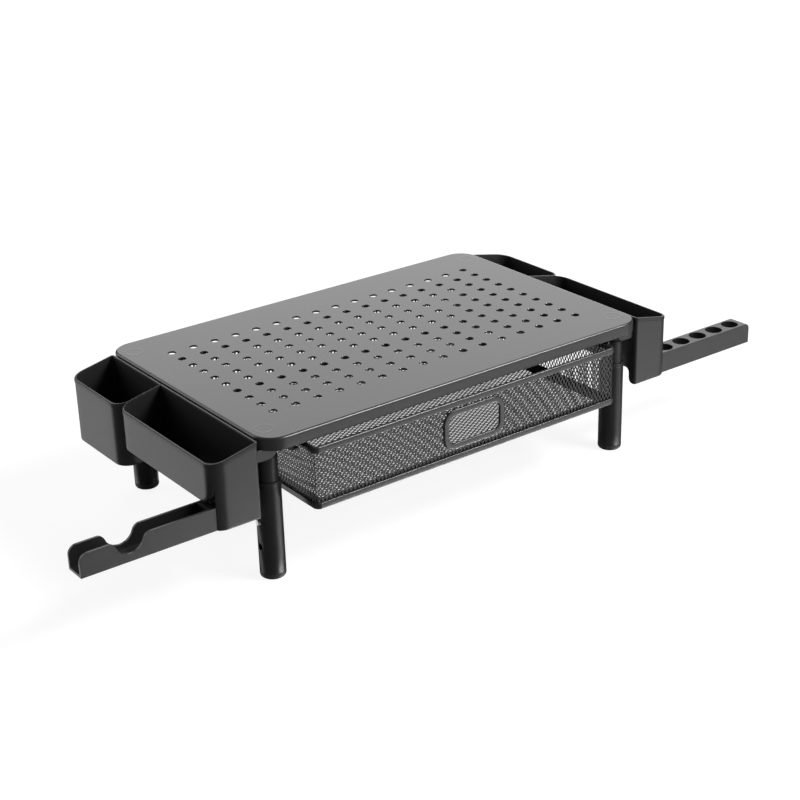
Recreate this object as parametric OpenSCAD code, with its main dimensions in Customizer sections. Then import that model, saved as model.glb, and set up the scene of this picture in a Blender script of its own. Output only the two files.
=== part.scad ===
// Monitor stand with a pull-out mesh drawer, two clip-on side bins and two swing-out arms.
// Millimetres. +Z is up and the desk is z = 0. The drawer opens towards -Y.
// X = 0, Y = 0 is the middle of the whole footprint at the middle height setting.

/* [Top plate] */
// Length of the plate from side to side
plate_w = 370; // [350:1:420]
// Depth of the plate from front to back
plate_d = 235; // [225:1:280]
// Height of the plate's top over the desk at the middle setting
stand_h = 120; // [116:1:135]
// Thickness of the pressed steel sheet
sheet_t = 1.5; // [1:0.1:2]
// Radius of the plate's corners, seen from above
plate_r = 18; // [12:1:24]
// Outer radius of the rolled edge between top and skirt
edge_r = 2.5; // [2.2:0.1:4]
// Height of the skirt, from the plate's top
skirt_h = 10; // [8:0.5:11]
// Diameter of the air holes
hole_d = 6.4; // [4:0.1:9]
// Pitch of the air holes from side to side
hole_pitch_x = 20; // [16:0.5:30]
// Pitch of the air holes from front to back
hole_pitch_y = 16.5; // [14:0.5:25]
// Plain margin beside the air holes
hole_margin_x = 35; // [25:1:60]
// Plain margin in front of and behind the air holes
hole_margin_y = 43; // [35:1:70]

/* [Legs] */
// Leg axis to the plate's side edge
leg_inset_x = 13; // [12:0.5:15]
// Leg axis to the plate's front or back edge
leg_inset_y = 21.5; // [20:0.5:30]
// Diameter of the upper post
post_d = 17; // [16:0.5:17]
// Wall of the post around its bore
post_wall = 1.6; // [1.2:0.1:2]
// Outer diameter of the lower tube
tube_d = 20; // [20:0.2:22]
// Wall of the lower tube
tube_wall = 1.2; // [0.8:0.1:1.2]
// Travel between two height settings
height_step = 20; // [16:1:21]
// Height of the plastic collar that closes the tube's top
collar_h = 2.5; // [2:0.5:5]
// Depth of the collar's sleeve in the tube
sleeve_h = 6; // [3:0.5:7]
// Post's lower end over the foot's plug in the low setting
post_spare = 1.5; // [0.5:0.5:3]
// Height of the rubber foot under the tube
foot_h = 5; // [4:0.5:6]
// Rounding of the foot's bottom edge
foot_r = 2.5; // [1:0.5:3.5]
// Depth of the foot's plug in the tube
plug_h = 3.5; // [2:0.5:4]
// Height of the snap button over the desk at the middle setting
button_z = 46.8; // [44:0.1:48]
// Diameter of the snap button
button_d = 5; // [4:0.1:5.2]
// How far the snap button stands out of the tube
button_proud = 1.2; // [0.5:0.1:2]
// Width of the button's spring strip
strip_w = 5; // [3:0.5:6]
// Thickness of the strip
strip_t = 0.6; // [0.4:0.1:0.8]
// Height of the strip's bend over the button
strip_rise = 12; // [8:1:16]

/* [Leg fixing] */
// Diameter of the round weld nut under the plate
nut_d = 16; // [12:0.5:17]
// Height of the weld nut
nut_h = 6; // [4:0.5:6]
// Diameter of the threaded stud
stud_d = 6; // [5:0.5:8]
// Depth of the stud in the post
stud_depth = 14.5; // [12:0.5:18]
// How much thinner the post's neck is, all round, at a bin's clip
neck_step = 0.8; // [0.5:0.1:1.2]

/* [Drawer] */
// Drawer side to the plate's side edge
drawer_inset = 36; // [34:0.5:50]
// How far the drawer's front stands proud of the plate
drawer_proud = 7.5; // [4:0.5:10]
// Depth of the drawer from front to back
drawer_d = 220; // [190:1:222]
// Height of the drawer
drawer_h = 50; // [44:1:52]
// Gap between the skirt and the top of the drawer
drawer_gap = 3; // [2.5:0.1:4]
// Height of the upper and lower steel rims
rim_h = 5; // [4:0.5:7]
// Thickness of the rims
rim_t = 1.5; // [1:0.1:2]
// Width of the upper rim's folded hem
hem_w = 2.8; // [2.6:0.1:4]
// Width of the lower rim's flange, which carries the floor
flange_w = 9.5; // [5:0.5:14]
// Thickness of that hem and flange
flange_t = 1.2; // [0.8:0.1:1.4]
// Radius of the drawer's corners
drawer_r = 5; // [3.5:0.5:8]
// Thickness of the mesh sheet
mesh_t = 1; // [0.6:0.1:1]
// Width of a mesh strand
strand_w = 1.6; // [1:0.1:2.2]
// Plain border of a mesh sheet
mesh_border = 1.5; // [1:0.1:2.5]
// How far the drawer pulls out
drawer_travel = 150; // [100:5:160]

/* [Grip] */
// Outer width of the finger grip's frame
grip_w = 60; // [50:1:90]
// Outer height of the frame
grip_h = 33; // [28:1:36]
// Width of the frame's band
grip_band = 5; // [3:0.5:6]
// Outer corner radius of the frame
grip_r = 11; // [7:0.5:14]
// How far the grip sits over the middle of the drawer's height
grip_rise = 1.3; // [0:0.1:2]

/* [Runners] */
// Width of the glide lip on each side of the drawer
glide_w = 6; // [4:0.5:7]
// Thickness of the glide lip
glide_t = 1.6; // [1:0.1:2]
// Thickness of the runner's steel
runner_t = 1.2; // [0.8:0.1:1.5]
// Front of the glide lip behind the drawer's front
glide_inset_front = 25; // [20:1:40]
// Back of the glide lip in front of the drawer's back
glide_inset_back = 2; // [1:0.5:6]
// Height of the stop nib on the glide
nib_h = 2.2; // [1.5:0.1:2.5]
// Length of the stop nib
nib_l = 3; // [2:0.5:6]
// Front of the runners behind the plate's front edge
runner_inset = 9.5; // [5:0.5:15]
// Width of the runner's welding flange
runner_flange = 6; // [4:0.5:6.5]
// Thickness of the rubber pads at the runners' back ends
bumper_t = 2; // [1:0.5:4]

/* [Side bins] */
// Gap between the plate and a bin
bin_gap = 1; // [0.5:0.1:2]
// Width of a bin across its pockets
bin_w = 40; // [36:1:60]
// Front of the bins behind the plate's front edge
bin_inset_front = 7.5; // [6:0.5:9]
// Back of the bins in front of the plate's back edge
bin_inset_back = 11; // [5:0.5:11]
// Length of the rear pocket
rear_pocket = 79; // [40:1:90]
// Height of a bin at its inner wall
bin_h = 60.7; // [56:0.1:70]
// Top of a bin's inner wall below the plate's top
bin_drop = 1.6; // [0.5:0.1:3]
// Slope of the rim down to the outer wall, in degrees
rim_slope = 12; // [0:1:15]
// Thickness of the bins' walls and floors
bin_wall = 2; // [1.5:0.1:2.5]
// Radius of a pocket's outer corners
bin_r = 12; // [8:0.5:14]
// Underside of the front pocket over the arm, below the plate's top
arm_roof = 42.5; // [38:0.5:44]
// Underside of the front pocket's deep half, below the plate's top
deep_drop = 49.5; // [46:0.5:54]
// Rounding of the front pocket's lower front edge over the arm
pocket_round = 15; // [8:0.5:18]
// Length of the apron's return behind the leg side
return_l = 4; // [2:0.5:6]
// Fillet between that return and the pocket
return_fillet = 4.5; // [1:0.5:6]

/* [Bin clips] */
// Height of a clip
clip_h = 9.5; // [8:0.5:10]
// Width of a clip around the post
clip_w = 20; // [20:0.2:21]
// How far a clip's fingers reach past the post's axis
clip_reach = 3.5; // [1:0.5:4]
// Rounding of the clip's lower nose
clip_nose = 7; // [3:0.5:8]

/* [Arms] */
// Pivot of an arm to its free end
arm_len = 113; // [80:1:118]
// Width of an arm
arm_w = 18; // [17:0.5:18]
// Height of an arm
arm_h = 18; // [14:0.5:18]
// Arm's underside over the bin's lowest edge
arm_rise = 0.5; // [0:0.1:1]
// Thickness of the front apron before the arm's hub
apron_t = 3.7; // [3:0.1:5]
// Wall of the left arm's channel
channel_wall = 2; // [1.5:0.1:2.5]
// Middle of the left arm's hook notch, from its free end
notch_from_tip = 39; // [34:1:50]
// Width of the notch at the top
notch_w = 32; // [20:1:36]
// Depth of the notch
notch_depth = 12; // [6:0.5:12]
// Radius of the left arm's upper outer corner
tip_r_left = 7; // [2:0.5:9]
// Radius of the right arm's upper outer corner
tip_r_right = 5; // [2:0.5:8]
// Diameter of the right arm's pen holes
pen_d = 15; // [10:0.5:15]
// Pitch of the pen holes
pen_pitch = 20.3; // [19:0.1:21]
// Last pen hole to the right arm's free end
pen_from_tip = 15.5; // [12:0.5:18]
// Number of pen holes
pen_count = 5; // [1:1:5]

/* [Arm screws] */
// Diameter of the shoulder screw that an arm turns on
pivot_d = 5; // [4:0.5:6]
// Diameter of its head
pivot_head_d = 9; // [8:0.5:11]
// Height of its head
pivot_head_h = 2.3; // [1.5:0.1:3]
// Diameter of the boss that takes the screw
boss_d = 10; // [9:0.5:12]
// Height of the boss over the front pocket's floor
boss_rise = 6.5; // [4:0.5:8]
// Closed end of the boss over the screw
boss_cap = 1.5; // [1:0.5:2.5]

/* [Hidden] */
$fn = 64;

// Clearances: faces that slide, faces that only clear, and a turning shaft in its bore
slide_gap = 0.1;
clear_gap = 0.4;
turn_gap = 0.08;
// Cuts reach this far past the faces that they open
cut = 1;

// The plate's middle lies behind the footprint's middle, because the drawer stands proud
plate_y = drawer_proud / 2;
leg_x = plate_w / 2 - leg_inset_x;
leg_y = plate_d / 2 - leg_inset_y;
CORNERS = [[-1, -1], [1, -1], [-1, 1], [1, 1]];

// Heights
plate_under = stand_h - sheet_t;
skirt_z = stand_h - skirt_h;
nut_z = plate_under - nut_h;
clip_top = skirt_z - clear_gap;
clip_z = clip_top - clip_h;
neck_z = clip_z - slide_gap;
// In the low setting the tube's collar stops just under the bins' clips
tube_top = clip_z - clear_gap - slide_gap * 2 - height_step;
tube_z = foot_h;
post_z = foot_h + plug_h + height_step + post_spare;
post_r = post_d / 2;
post_bore_r = post_r - post_wall;
neck_r = post_r - neck_step;
tube_r = tube_d / 2;
tube_bore_r = tube_r - tube_wall;
hole_settings = [button_z - height_step, button_z, button_z + height_step];
strip_x = sqrt(pow(post_bore_r - slide_gap, 2) - pow(strip_w / 2, 2));

// Drawer
drawer_w = plate_w - 2 * drawer_inset;
drawer_top = skirt_z - drawer_gap;
drawer_z = drawer_top - drawer_h;
drawer_front = -plate_d / 2 - drawer_proud;
drawer_back = drawer_front + drawer_d;
mesh_z = drawer_z + flange_t;
mesh_top = drawer_top - flange_t;
mesh_x = drawer_w / 2 - rim_t;
mesh_front_y = drawer_front + rim_t;
mesh_back_y = drawer_back - rim_t;
grip_z = (drawer_top + drawer_z) / 2 + grip_rise;

// Runners and glides
glide_z = drawer_top - rim_h + 1.2;
glide_front = drawer_front + glide_inset_front;
glide_back = drawer_back - glide_inset_back;
runner_lip_z = glide_z - slide_gap - runner_t;
runner_web_x = drawer_w / 2 + glide_w + 1;
runner_lip_w = glide_w - 1;
runner_roof_z = glide_z + glide_t + nib_h + clear_gap;
runner_front = -plate_d / 2 + runner_inset;
runner_back = glide_back + 0.3 + bumper_t + runner_t;

// Side bins, in their own plan: u runs outwards from the inner wall, y as in the plate's plan
bin_x = plate_w / 2 + bin_gap;
bin_front = -plate_d / 2 + bin_inset_front;
bin_back = plate_d / 2 - bin_inset_back;
bin_top = stand_h - bin_drop;
bin_z = bin_top - bin_h;
split_y = bin_back - rear_pocket;
roof_z = stand_h - arm_roof;
deep_z = stand_h - deep_drop;

// Arms: the pivot lies half an arm's width inside the bin's outer face
pivot_u = bin_w - arm_w / 2;
pivot_y = bin_front + apron_t + 0.3 + arm_w / 2;
arm_z = bin_z + arm_rise;
arm_top = arm_z + arm_h;
pivot_r = pivot_d / 2;
seat_z = arm_top + slide_gap;
head_recess = pivot_head_h + 0.2;
step_u = bin_w - arm_w - 1;
boss_top = roof_z + bin_wall + boss_rise;
screw_top = boss_top - boss_cap;

STEEL = [0.13, 0.13, 0.135];
PLASTIC = [0.10, 0.10, 0.105];
RUBBER = [0.05, 0.05, 0.05];
ZINC = [0.62, 0.63, 0.65];

// Moves a piece from the plate's own plan to the footprint's
module at_plate() {
    translate([0, plate_y, 0]) children();
}

// Puts a child at the leg in corner c, with its local +X pointing outwards
module at_leg(c) {
    at_plate() translate([c[0] * leg_x, c[1] * leg_y, 0]) mirror([c[0] < 0 ? 1 : 0, 0, 0]) children();
}

// Rectangle with rounded corners, centred
module round_rect(w, d, r) {
    square([w - 2 * r, d], center = true);
    square([w, d - 2 * r], center = true);
    for (sx = [-1, 1], sy = [-1, 1])
        translate([sx * (w / 2 - r), sy * (d / 2 - r)]) circle(r);
}

// Half section of the plate's edge: slab, rolled corner and skirt; x = 0 is the corner's centre
module edge_section() {
    translate([0, -sheet_t]) square([plate_r - edge_r, sheet_t]);
    translate([plate_r - edge_r, -edge_r]) intersection() {
        difference() {
            circle(edge_r);
            circle(edge_r - sheet_t);
        }
        square(edge_r);
    }
    translate([plate_r - sheet_t, -skirt_h]) square([sheet_t, skirt_h - edge_r]);
}

module plate_blank() {
    inner_w = plate_w - 2 * plate_r;
    inner_d = plate_d - 2 * plate_r;
    translate([-inner_w / 2, -inner_d / 2, -sheet_t]) cube([inner_w, inner_d, sheet_t]);
    for (k = [0:3]) {
        reach = (k % 2 == 0 ? inner_w : inner_d) / 2;
        run = k % 2 == 0 ? inner_d : inner_w;
        rotate([0, 0, 90 * k]) translate([reach, run / 2, 0]) {
            rotate([90, 0, 0]) linear_extrude(run) edge_section();
            rotate_extrude(angle = 90) edge_section();
        }
    }
}

module air_holes() {
    cols = floor((plate_w - 2 * hole_margin_x) / hole_pitch_x);
    rows = floor((plate_d - 2 * hole_margin_y) / hole_pitch_y);
    for (i = [0:cols], j = [0:rows])
        translate([(i - cols / 2) * hole_pitch_x, (j - rows / 2) * hole_pitch_y, -sheet_t - cut])
            cylinder(d = hole_d, h = sheet_t + 2 * cut, $fn = 32);
}

module top_plate() {
    color(STEEL) at_plate() translate([0, 0, stand_h]) difference() {
        plate_blank();
        air_holes();
    }
}

// Round threaded nuts welded under the plate, one over each leg
module weld_nuts() {
    color(STEEL) for (c = CORNERS) at_leg(c) translate([0, 0, nut_z]) difference() {
        cylinder(d = nut_d, h = nut_h);
        translate([0, 0, -cut]) cylinder(d = stud_d + slide_gap, h = nut_h + 2 * cut);
    }
}

module leg_studs() {
    color(ZINC) for (c = CORNERS) at_leg(c) translate([0, 0, nut_z - stud_depth])
        cylinder(d = stud_d, h = stud_depth + nut_h - 1);
}

// Upper post: hollow below for the snap clip, grooved above for the bin's clip
module leg_post(c) {
    neck_h = clip_top + slide_gap - neck_z;
    solid_z = nut_z - stud_depth - 4;
    color(PLASTIC) at_leg(c) difference() {
        union() {
            translate([0, 0, post_z]) cylinder(r = post_r, h = neck_z - post_z);
            translate([0, 0, neck_z]) cylinder(r = neck_r, h = neck_h);
            translate([0, 0, neck_z + neck_h]) cylinder(r = post_r, h = nut_z - neck_z - neck_h);
        }
        translate([0, 0, post_z - cut]) cylinder(r = post_bore_r, h = solid_z - post_z + cut);
        translate([0, 0, nut_z - stud_depth]) cylinder(d = stud_d + slide_gap, h = stud_depth + cut);
        translate([0, 0, button_z]) rotate([0, 90, 0]) cylinder(d = button_d + 0.4, h = post_r + cut);
    }
}

// Lower tube with three setting holes on its outer side
module leg_tube(c) {
    color(STEEL) at_leg(c) difference() {
        translate([0, 0, tube_z]) cylinder(r = tube_r, h = tube_top - collar_h - tube_z);
        translate([0, 0, tube_z - cut]) cylinder(r = tube_bore_r, h = tube_top);
        for (z = hole_settings)
            translate([0, 0, z]) rotate([0, 90, 0]) cylinder(d = button_d + 0.6, h = tube_r + cut);
    }
}

// Plastic collar pressed in the tube's top, which guides the post
module leg_collar(c) {
    color(PLASTIC) at_leg(c) difference() {
        union() {
            translate([0, 0, tube_top - collar_h]) cylinder(r = tube_r, h = collar_h);
            translate([0, 0, tube_top - collar_h - sleeve_h])
                cylinder(r = tube_bore_r - slide_gap / 2, h = sleeve_h);
        }
        translate([0, 0, tube_top - collar_h - sleeve_h - cut])
            cylinder(r = post_r + turn_gap, h = collar_h + sleeve_h + 2 * cut);
    }
}

// Rubber foot with a rounded edge and a plug that fills the tube's end
module leg_foot(c) {
    color(RUBBER) at_leg(c) rotate_extrude() {
        translate([0, foot_r]) square([tube_r, foot_h - foot_r]);
        square([tube_r - foot_r, foot_r]);
        translate([tube_r - foot_r, foot_r]) intersection() {
            circle(foot_r);
            translate([0, -foot_r]) square(foot_r);
        }
        translate([0, foot_h]) square([tube_bore_r - slide_gap / 2, plug_h]);
    }
}

// Spring strip folded in the post's bore, behind the snap button
module snap_spring(c) {
    color(ZINC) at_leg(c) translate([0, strip_w / 2, button_z]) rotate([90, 0, 0]) linear_extrude(strip_w) {
        difference() {
            translate([0, strip_rise]) circle(strip_x);
            translate([0, strip_rise]) circle(strip_x - strip_t);
            translate([-strip_x - cut, strip_rise - strip_x - cut]) square([2 * (strip_x + cut), strip_x + cut]);
        }
        translate([strip_x - strip_t, -button_d]) square([strip_t, strip_rise + button_d]);
        translate([-strip_x, -button_d]) square([strip_t, strip_rise + button_d]);
    }
}

// Snap button, which goes through the post and one of the tube's setting holes
module snap_button(c) {
    length = tube_r + button_proud - strip_x;
    dome = 1;
    color(ZINC) at_leg(c) translate([strip_x, 0, button_z]) rotate([0, 90, 0]) rotate_extrude() {
        square([button_d / 2, length - dome]);
        square([button_d / 2 - dome, length]);
        translate([button_d / 2 - dome, length - dome]) intersection() {
            circle(dome);
            square(dome);
        }
    }
}

// Steel C-channel welded under the plate; the drawer's glide lip runs in it
module runner(side) {
    run = runner_back - runner_front;
    stop_y = glide_back - nib_l - drawer_travel - slide_gap;
    lip_x = runner_web_x - runner_lip_w;
    color(STEEL) at_plate() mirror([side < 0 ? 1 : 0, 0, 0]) {
        translate([runner_web_x, runner_front, runner_lip_z])
            cube([runner_t, run, plate_under - runner_lip_z]);
        translate([lip_x, runner_front, runner_lip_z]) cube([runner_lip_w, run, runner_t]);
        translate([lip_x, runner_front, runner_roof_z]) cube([runner_lip_w, run, runner_t]);
        translate([runner_web_x, runner_front, plate_under - runner_t])
            cube([runner_flange, run, runner_t]);
        translate([lip_x, stop_y - runner_t, glide_z + glide_t + clear_gap])
            cube([runner_lip_w, runner_t, runner_roof_z - glide_z - glide_t - clear_gap]);
        translate([lip_x, runner_back - runner_t, runner_lip_z])
            cube([runner_lip_w, runner_t, runner_roof_z - runner_lip_z]);
    }
}

// Rubber pads on the runners' back ends, where the closed drawer stops
module drawer_bumpers() {
    lip_x = runner_web_x - runner_lip_w;
    pad_h = runner_roof_z - runner_lip_z - runner_t - 0.2;
    color(RUBBER) at_plate() for (side = [-1, 1]) mirror([side < 0 ? 1 : 0, 0, 0])
        translate([lip_x, runner_back - runner_t - bumper_t, runner_lip_z + runner_t + 0.1])
            cube([runner_lip_w - 0.1, bumper_t, pad_h]);
}

// A steel lip on each side of the drawer's upper rim, with a stop nib at its back
module glide(side) {
    color(STEEL) at_plate() mirror([side < 0 ? 1 : 0, 0, 0]) translate([drawer_w / 2, 0, glide_z]) {
        translate([0, glide_front, 0]) cube([glide_w, glide_back - glide_front, glide_t]);
        translate([0, glide_back - nib_l, 0]) cube([glide_w, nib_l, glide_t + nib_h]);
    }
}

// Moves a child from the drawer's own middle to its place
module at_drawer() {
    at_plate() translate([0, (drawer_front + drawer_back) / 2, 0]) children();
}

// Angle-section frame: an upright band with a flange, inner_w wide, that points inwards
module angle_frame(z, flange_z, inner_w) {
    color(STEEL) at_drawer() {
        translate([0, 0, z]) linear_extrude(rim_h) difference() {
            round_rect(drawer_w, drawer_d, drawer_r);
            round_rect(drawer_w - 2 * rim_t, drawer_d - 2 * rim_t, drawer_r - rim_t);
        }
        translate([0, 0, flange_z]) linear_extrude(flange_t) difference() {
            round_rect(drawer_w, drawer_d, drawer_r);
            square([drawer_w - 2 * inner_w, drawer_d - 2 * inner_w], center = true);
        }
    }
}

module drawer_rim_upper() {
    angle_frame(drawer_top - rim_h, drawer_top - flange_t, hem_w);
}

module drawer_rim_lower() {
    angle_frame(drawer_z, drawer_z, flange_w);
}

// Expanded sheet of w by h: diamonds in rows, and more between them, inside a plain border
module net(w, h, cols, rows, keep_w = 0, keep_h = 0, keep_y = 0) {
    cell_w = (w - 2 * mesh_border) / cols;
    cell_h = (h - 2 * mesh_border) / rows;
    half_w = cell_w / 2 - strand_w * 0.6;
    half_h = cell_h / 2 - strand_w * 0.6;
    linear_extrude(mesh_t) difference() {
        square([w, h], center = true);
        for (s = [0, 1], i = [0:cols - 1 - s], j = [0:rows - 1 - s]) {
            x = (i - (cols - 1 - s) / 2) * cell_w;
            y = (j - (rows - 1 - s) / 2) * cell_h;
            if (abs(x) >= keep_w / 2 || abs(y - keep_y) >= keep_h / 2)
                translate([x, y]) polygon([[-half_w, 0], [0, -half_h], [half_w, 0], [0, half_h]]);
        }
    }
}

// Cuts the ends of a mesh sheet to the rounded corners inside the rims
module in_corners() {
    intersection() {
        children();
        at_drawer() translate([0, 0, drawer_z]) linear_extrude(drawer_h)
            round_rect(2 * mesh_x, drawer_d - 2 * rim_t, drawer_r - rim_t + clear_gap);
    }
}

module mesh_front() {
    mid_z = (mesh_z + mesh_top) / 2;
    color(STEEL) in_corners() at_plate() translate([0, mesh_front_y + mesh_t, mid_z]) rotate([90, 0, 0])
        difference() {
            net(2 * mesh_x, mesh_top - mesh_z, 22, 3, grip_w + 6, grip_h + 4, grip_z - mid_z);
            translate([0, grip_z - mid_z, -cut]) linear_extrude(mesh_t + 2 * cut)
                round_rect(grip_w - 2 * grip_band + 2, grip_h - 2 * grip_band + 2, grip_r - grip_band + 1);
        }
}

module mesh_back() {
    color(STEEL) in_corners() at_plate() translate([0, mesh_back_y, (mesh_z + mesh_top) / 2])
        rotate([90, 0, 0]) net(2 * mesh_x, mesh_top - mesh_z, 18, 3);
}

module mesh_side(side) {
    inner_d = mesh_back_y - mesh_front_y - 2 * mesh_t;
    color(STEEL) in_corners() at_drawer()
        translate([side * (mesh_x - mesh_t / 2) - mesh_t / 2, 0, (mesh_z + mesh_top) / 2])
        rotate([90, 0, 90]) net(inner_d, mesh_top - mesh_z, 14, 3);
}

module mesh_floor() {
    inner_w = 2 * (mesh_x - mesh_t);
    inner_d = mesh_back_y - mesh_front_y - 2 * mesh_t;
    color(STEEL) at_drawer() translate([0, 0, mesh_z]) net(inner_w, inner_d, 11, 7);
}

// Steel frame round the open finger hole in the drawer's front
module drawer_grip() {
    color(STEEL) at_plate() translate([0, mesh_front_y, grip_z]) rotate([90, 0, 0])
        linear_extrude(rim_t) difference() {
            round_rect(grip_w, grip_h, grip_r);
            round_rect(grip_w - 2 * grip_band, grip_h - 2 * grip_band, grip_r - grip_band);
        }
}

// Plan of one pocket from y0 to y1, square at the inner wall and rounded at the outer corners.
// The insets of its sides and its front and back ends make the plan of the space inside.
module pocket_plan(y0, y1, side = 0, front = 0, back = 0) {
    r = bin_r - side;
    length = y1 - y0 - front - back;
    translate([side, y0 + front]) square([bin_w - bin_r - side, length]);
    translate([side, y0 + front + r]) square([bin_w - 2 * side, length - 2 * r]);
    for (y = [y0 + front + r, y1 - back - r]) translate([bin_w - bin_r, y]) circle(r);
}

// Everything over the sloping rim, which falls away from the inner wall
module above_rim() {
    fall = (bin_w + cut) * tan(rim_slope);
    translate([0, bin_back + cut, bin_top]) rotate([90, 0, 0]) linear_extrude(bin_back - bin_front + 2 * cut)
        polygon([[-cut, cut * tan(rim_slope)], [bin_w + cut, -fall], [bin_w + cut, 10], [-cut, 10]]);
}

// Clip that snaps round a post's neck, with open fingers and a rounded lower nose
module bin_clip() {
    reach = bin_gap + leg_inset_x;
    end = reach + clip_reach;
    translate([0, clip_w / 2, clip_z]) rotate([90, 0, 0]) difference() {
        linear_extrude(clip_w) {
            translate([-end, clip_nose]) square([end, clip_h - clip_nose]);
            translate([-end + clip_nose, 0]) square([end - clip_nose, clip_h]);
            translate([-end + clip_nose, clip_nose]) intersection() {
                circle(clip_nose);
                translate([-clip_nose, -clip_nose]) square(clip_nose);
            }
        }
        translate([-reach, -cut, clip_w / 2]) rotate([-90, 0, 0])
            cylinder(r = neck_r + slide_gap, h = clip_h + 2 * cut);
    }
}

// Space below and before the front pocket's rounded lower front edge, outside radius r
module before_round(r, u0) {
    mid_y = bin_front + apron_t + pocket_round;
    mid_z = roof_z + pocket_round;
    translate([u0, 0, 0]) rotate([90, 0, 90]) linear_extrude(bin_w) difference() {
        translate([bin_front + apron_t, roof_z - cut]) square([pocket_round, pocket_round + cut]);
        translate([mid_y, mid_z]) circle(r);
    }
}

// Web behind the apron on the leg's side, with a rounded foot and a fillet at its top
module apron_return() {
    y0 = bin_front + apron_t;
    h = deep_z - bin_z;
    rotate([90, 0, 90]) linear_extrude(bin_wall) translate([y0, bin_z]) difference() {
        square([return_l + return_fillet, h]);
        translate([return_l, -cut]) square([return_fillet + cut, h - return_fillet + cut]);
        translate([return_l + return_fillet, h - return_fillet]) circle(return_fillet);
        difference() {
            square(return_l);
            translate([0, return_l]) circle(return_l);
        }
    }
}

// Everything that the bin's walls stand round
module bin_cavity() {
    difference() {
        union() {
            translate([0, 0, bin_z + bin_wall]) linear_extrude(roof_z - bin_z)
                pocket_plan(split_y, bin_back, bin_wall, bin_wall, bin_wall);
            translate([0, 0, roof_z]) linear_extrude(bin_h)
                pocket_plan(split_y, bin_back, bin_wall, bin_wall / 2, bin_wall);
            translate([0, 0, roof_z + bin_wall]) linear_extrude(bin_h)
                pocket_plan(bin_front, split_y, bin_wall, bin_wall, bin_wall / 2);
            translate([bin_wall, bin_front + bin_wall, deep_z + bin_wall])
                cube([step_u - 2 * bin_wall, split_y - bin_front - 1.5 * bin_wall, bin_h]);
        }
        translate([step_u - bin_wall, bin_front, roof_z])
            cube([bin_w, apron_t + bin_wall, pocket_round]);
        before_round(pocket_round - bin_wall, step_u - bin_wall);
        translate([pivot_u, pivot_y, roof_z]) cylinder(d = boss_d, h = boss_top - roof_z);
    }
}

// One moulded bin: two pockets, a sloping rim, the apron before the arm's hub and two clips
module bin_body() {
    difference() {
        union() {
            difference() {
                union() {
                    translate([0, 0, bin_z]) linear_extrude(bin_h + cut) pocket_plan(split_y, bin_back);
                    translate([0, 0, roof_z]) linear_extrude(bin_top + cut - roof_z)
                        pocket_plan(bin_front, split_y);
                }
                before_round(pocket_round, step_u);
            }
            translate([0, bin_front, deep_z]) cube([step_u, split_y - bin_front, roof_z - deep_z]);
            intersection() {
                translate([0, 0, bin_z]) linear_extrude(roof_z - bin_z) pocket_plan(bin_front, split_y);
                translate([0, bin_front, bin_z]) cube([bin_w, apron_t, roof_z - bin_z]);
            }
            apron_return();
            for (sy = [-1, 1]) translate([0, sy * leg_y, 0]) bin_clip();
            translate([pivot_u, pivot_y, seat_z]) cylinder(d = boss_d, h = boss_top - seat_z);
        }
        bin_cavity();
        above_rim();
        translate([pivot_u, pivot_y, seat_z - cut])
            cylinder(r = pivot_r + slide_gap / 2, h = screw_top + 2 * slide_gap - seat_z + cut);
    }
}

// Puts a child in the plan of the left (-1) or right (1) bin
module at_bin(side) {
    at_plate() mirror([side < 0 ? 1 : 0, 0, 0]) translate([bin_x, 0, 0]) children();
}

module bin_left() {
    color(PLASTIC) at_bin(-1) bin_body();
}

module bin_right() {
    color(PLASTIC) at_bin(1) bin_body();
}

// Hub and bar of an arm, solid, with its upper outer corner rounded
module arm_blank(tip_r) {
    cylinder(d = arm_w, h = arm_h);
    translate([0, arm_w / 2, 0]) rotate([90, 0, 0]) linear_extrude(arm_w) {
        square([arm_len, arm_h - tip_r]);
        square([arm_len - tip_r, arm_h]);
        translate([arm_len - tip_r, arm_h - tip_r]) circle(tip_r);
    }
}

// Bore for the shoulder screw and the recess for its head
module pivot_bore() {
    translate([0, 0, -cut]) cylinder(r = pivot_r + turn_gap, h = arm_h + 2 * cut);
    translate([0, 0, -cut]) cylinder(d = pivot_head_d + 1, h = head_recess + cut);
}

// Places an arm in its bin's plan
module at_pivot(side) {
    at_bin(side) translate([pivot_u, pivot_y, arm_z]) children();
}

// Depth of the hook notch at a share t of its width, from -1 to 1
function notch_z(t) = arm_h - notch_depth * (1 + cos(180 * t)) / 2;

module notch_cut() {
    mid = arm_len - notch_from_tip;
    steps = 24;
    rim = [for (k = [0:steps]) let (t = 2 * k / steps - 1) [mid + t * notch_w / 2, notch_z(t)]];
    translate([0, arm_w / 2 + cut, 0]) rotate([90, 0, 0]) linear_extrude(arm_w + 2 * cut)
        polygon(concat([[mid - notch_w / 2, arm_h + cut]], rim, [[mid + notch_w / 2, arm_h + cut]]));
}

// Left arm: an open channel with a hook notch, for a headset or a cable
module arm_left() {
    channel_x = arm_w / 2 + 2;
    color(PLASTIC) at_pivot(-1) difference() {
        arm_blank(tip_r_left);
        translate([channel_x, -arm_w / 2 + channel_wall, channel_wall])
            cube([arm_len, arm_w - 2 * channel_wall, arm_h]);
        notch_cut();
        pivot_bore();
    }
}

// Right arm: a bar with a row of pen holes
module arm_right() {
    color(PLASTIC) at_pivot(1) difference() {
        arm_blank(tip_r_right);
        for (k = [0:pen_count - 1]) translate([arm_len - pen_from_tip - k * pen_pitch, 0, -cut])
            cylinder(d = pen_d, h = arm_h + 2 * cut);
        pivot_bore();
    }
}

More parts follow.
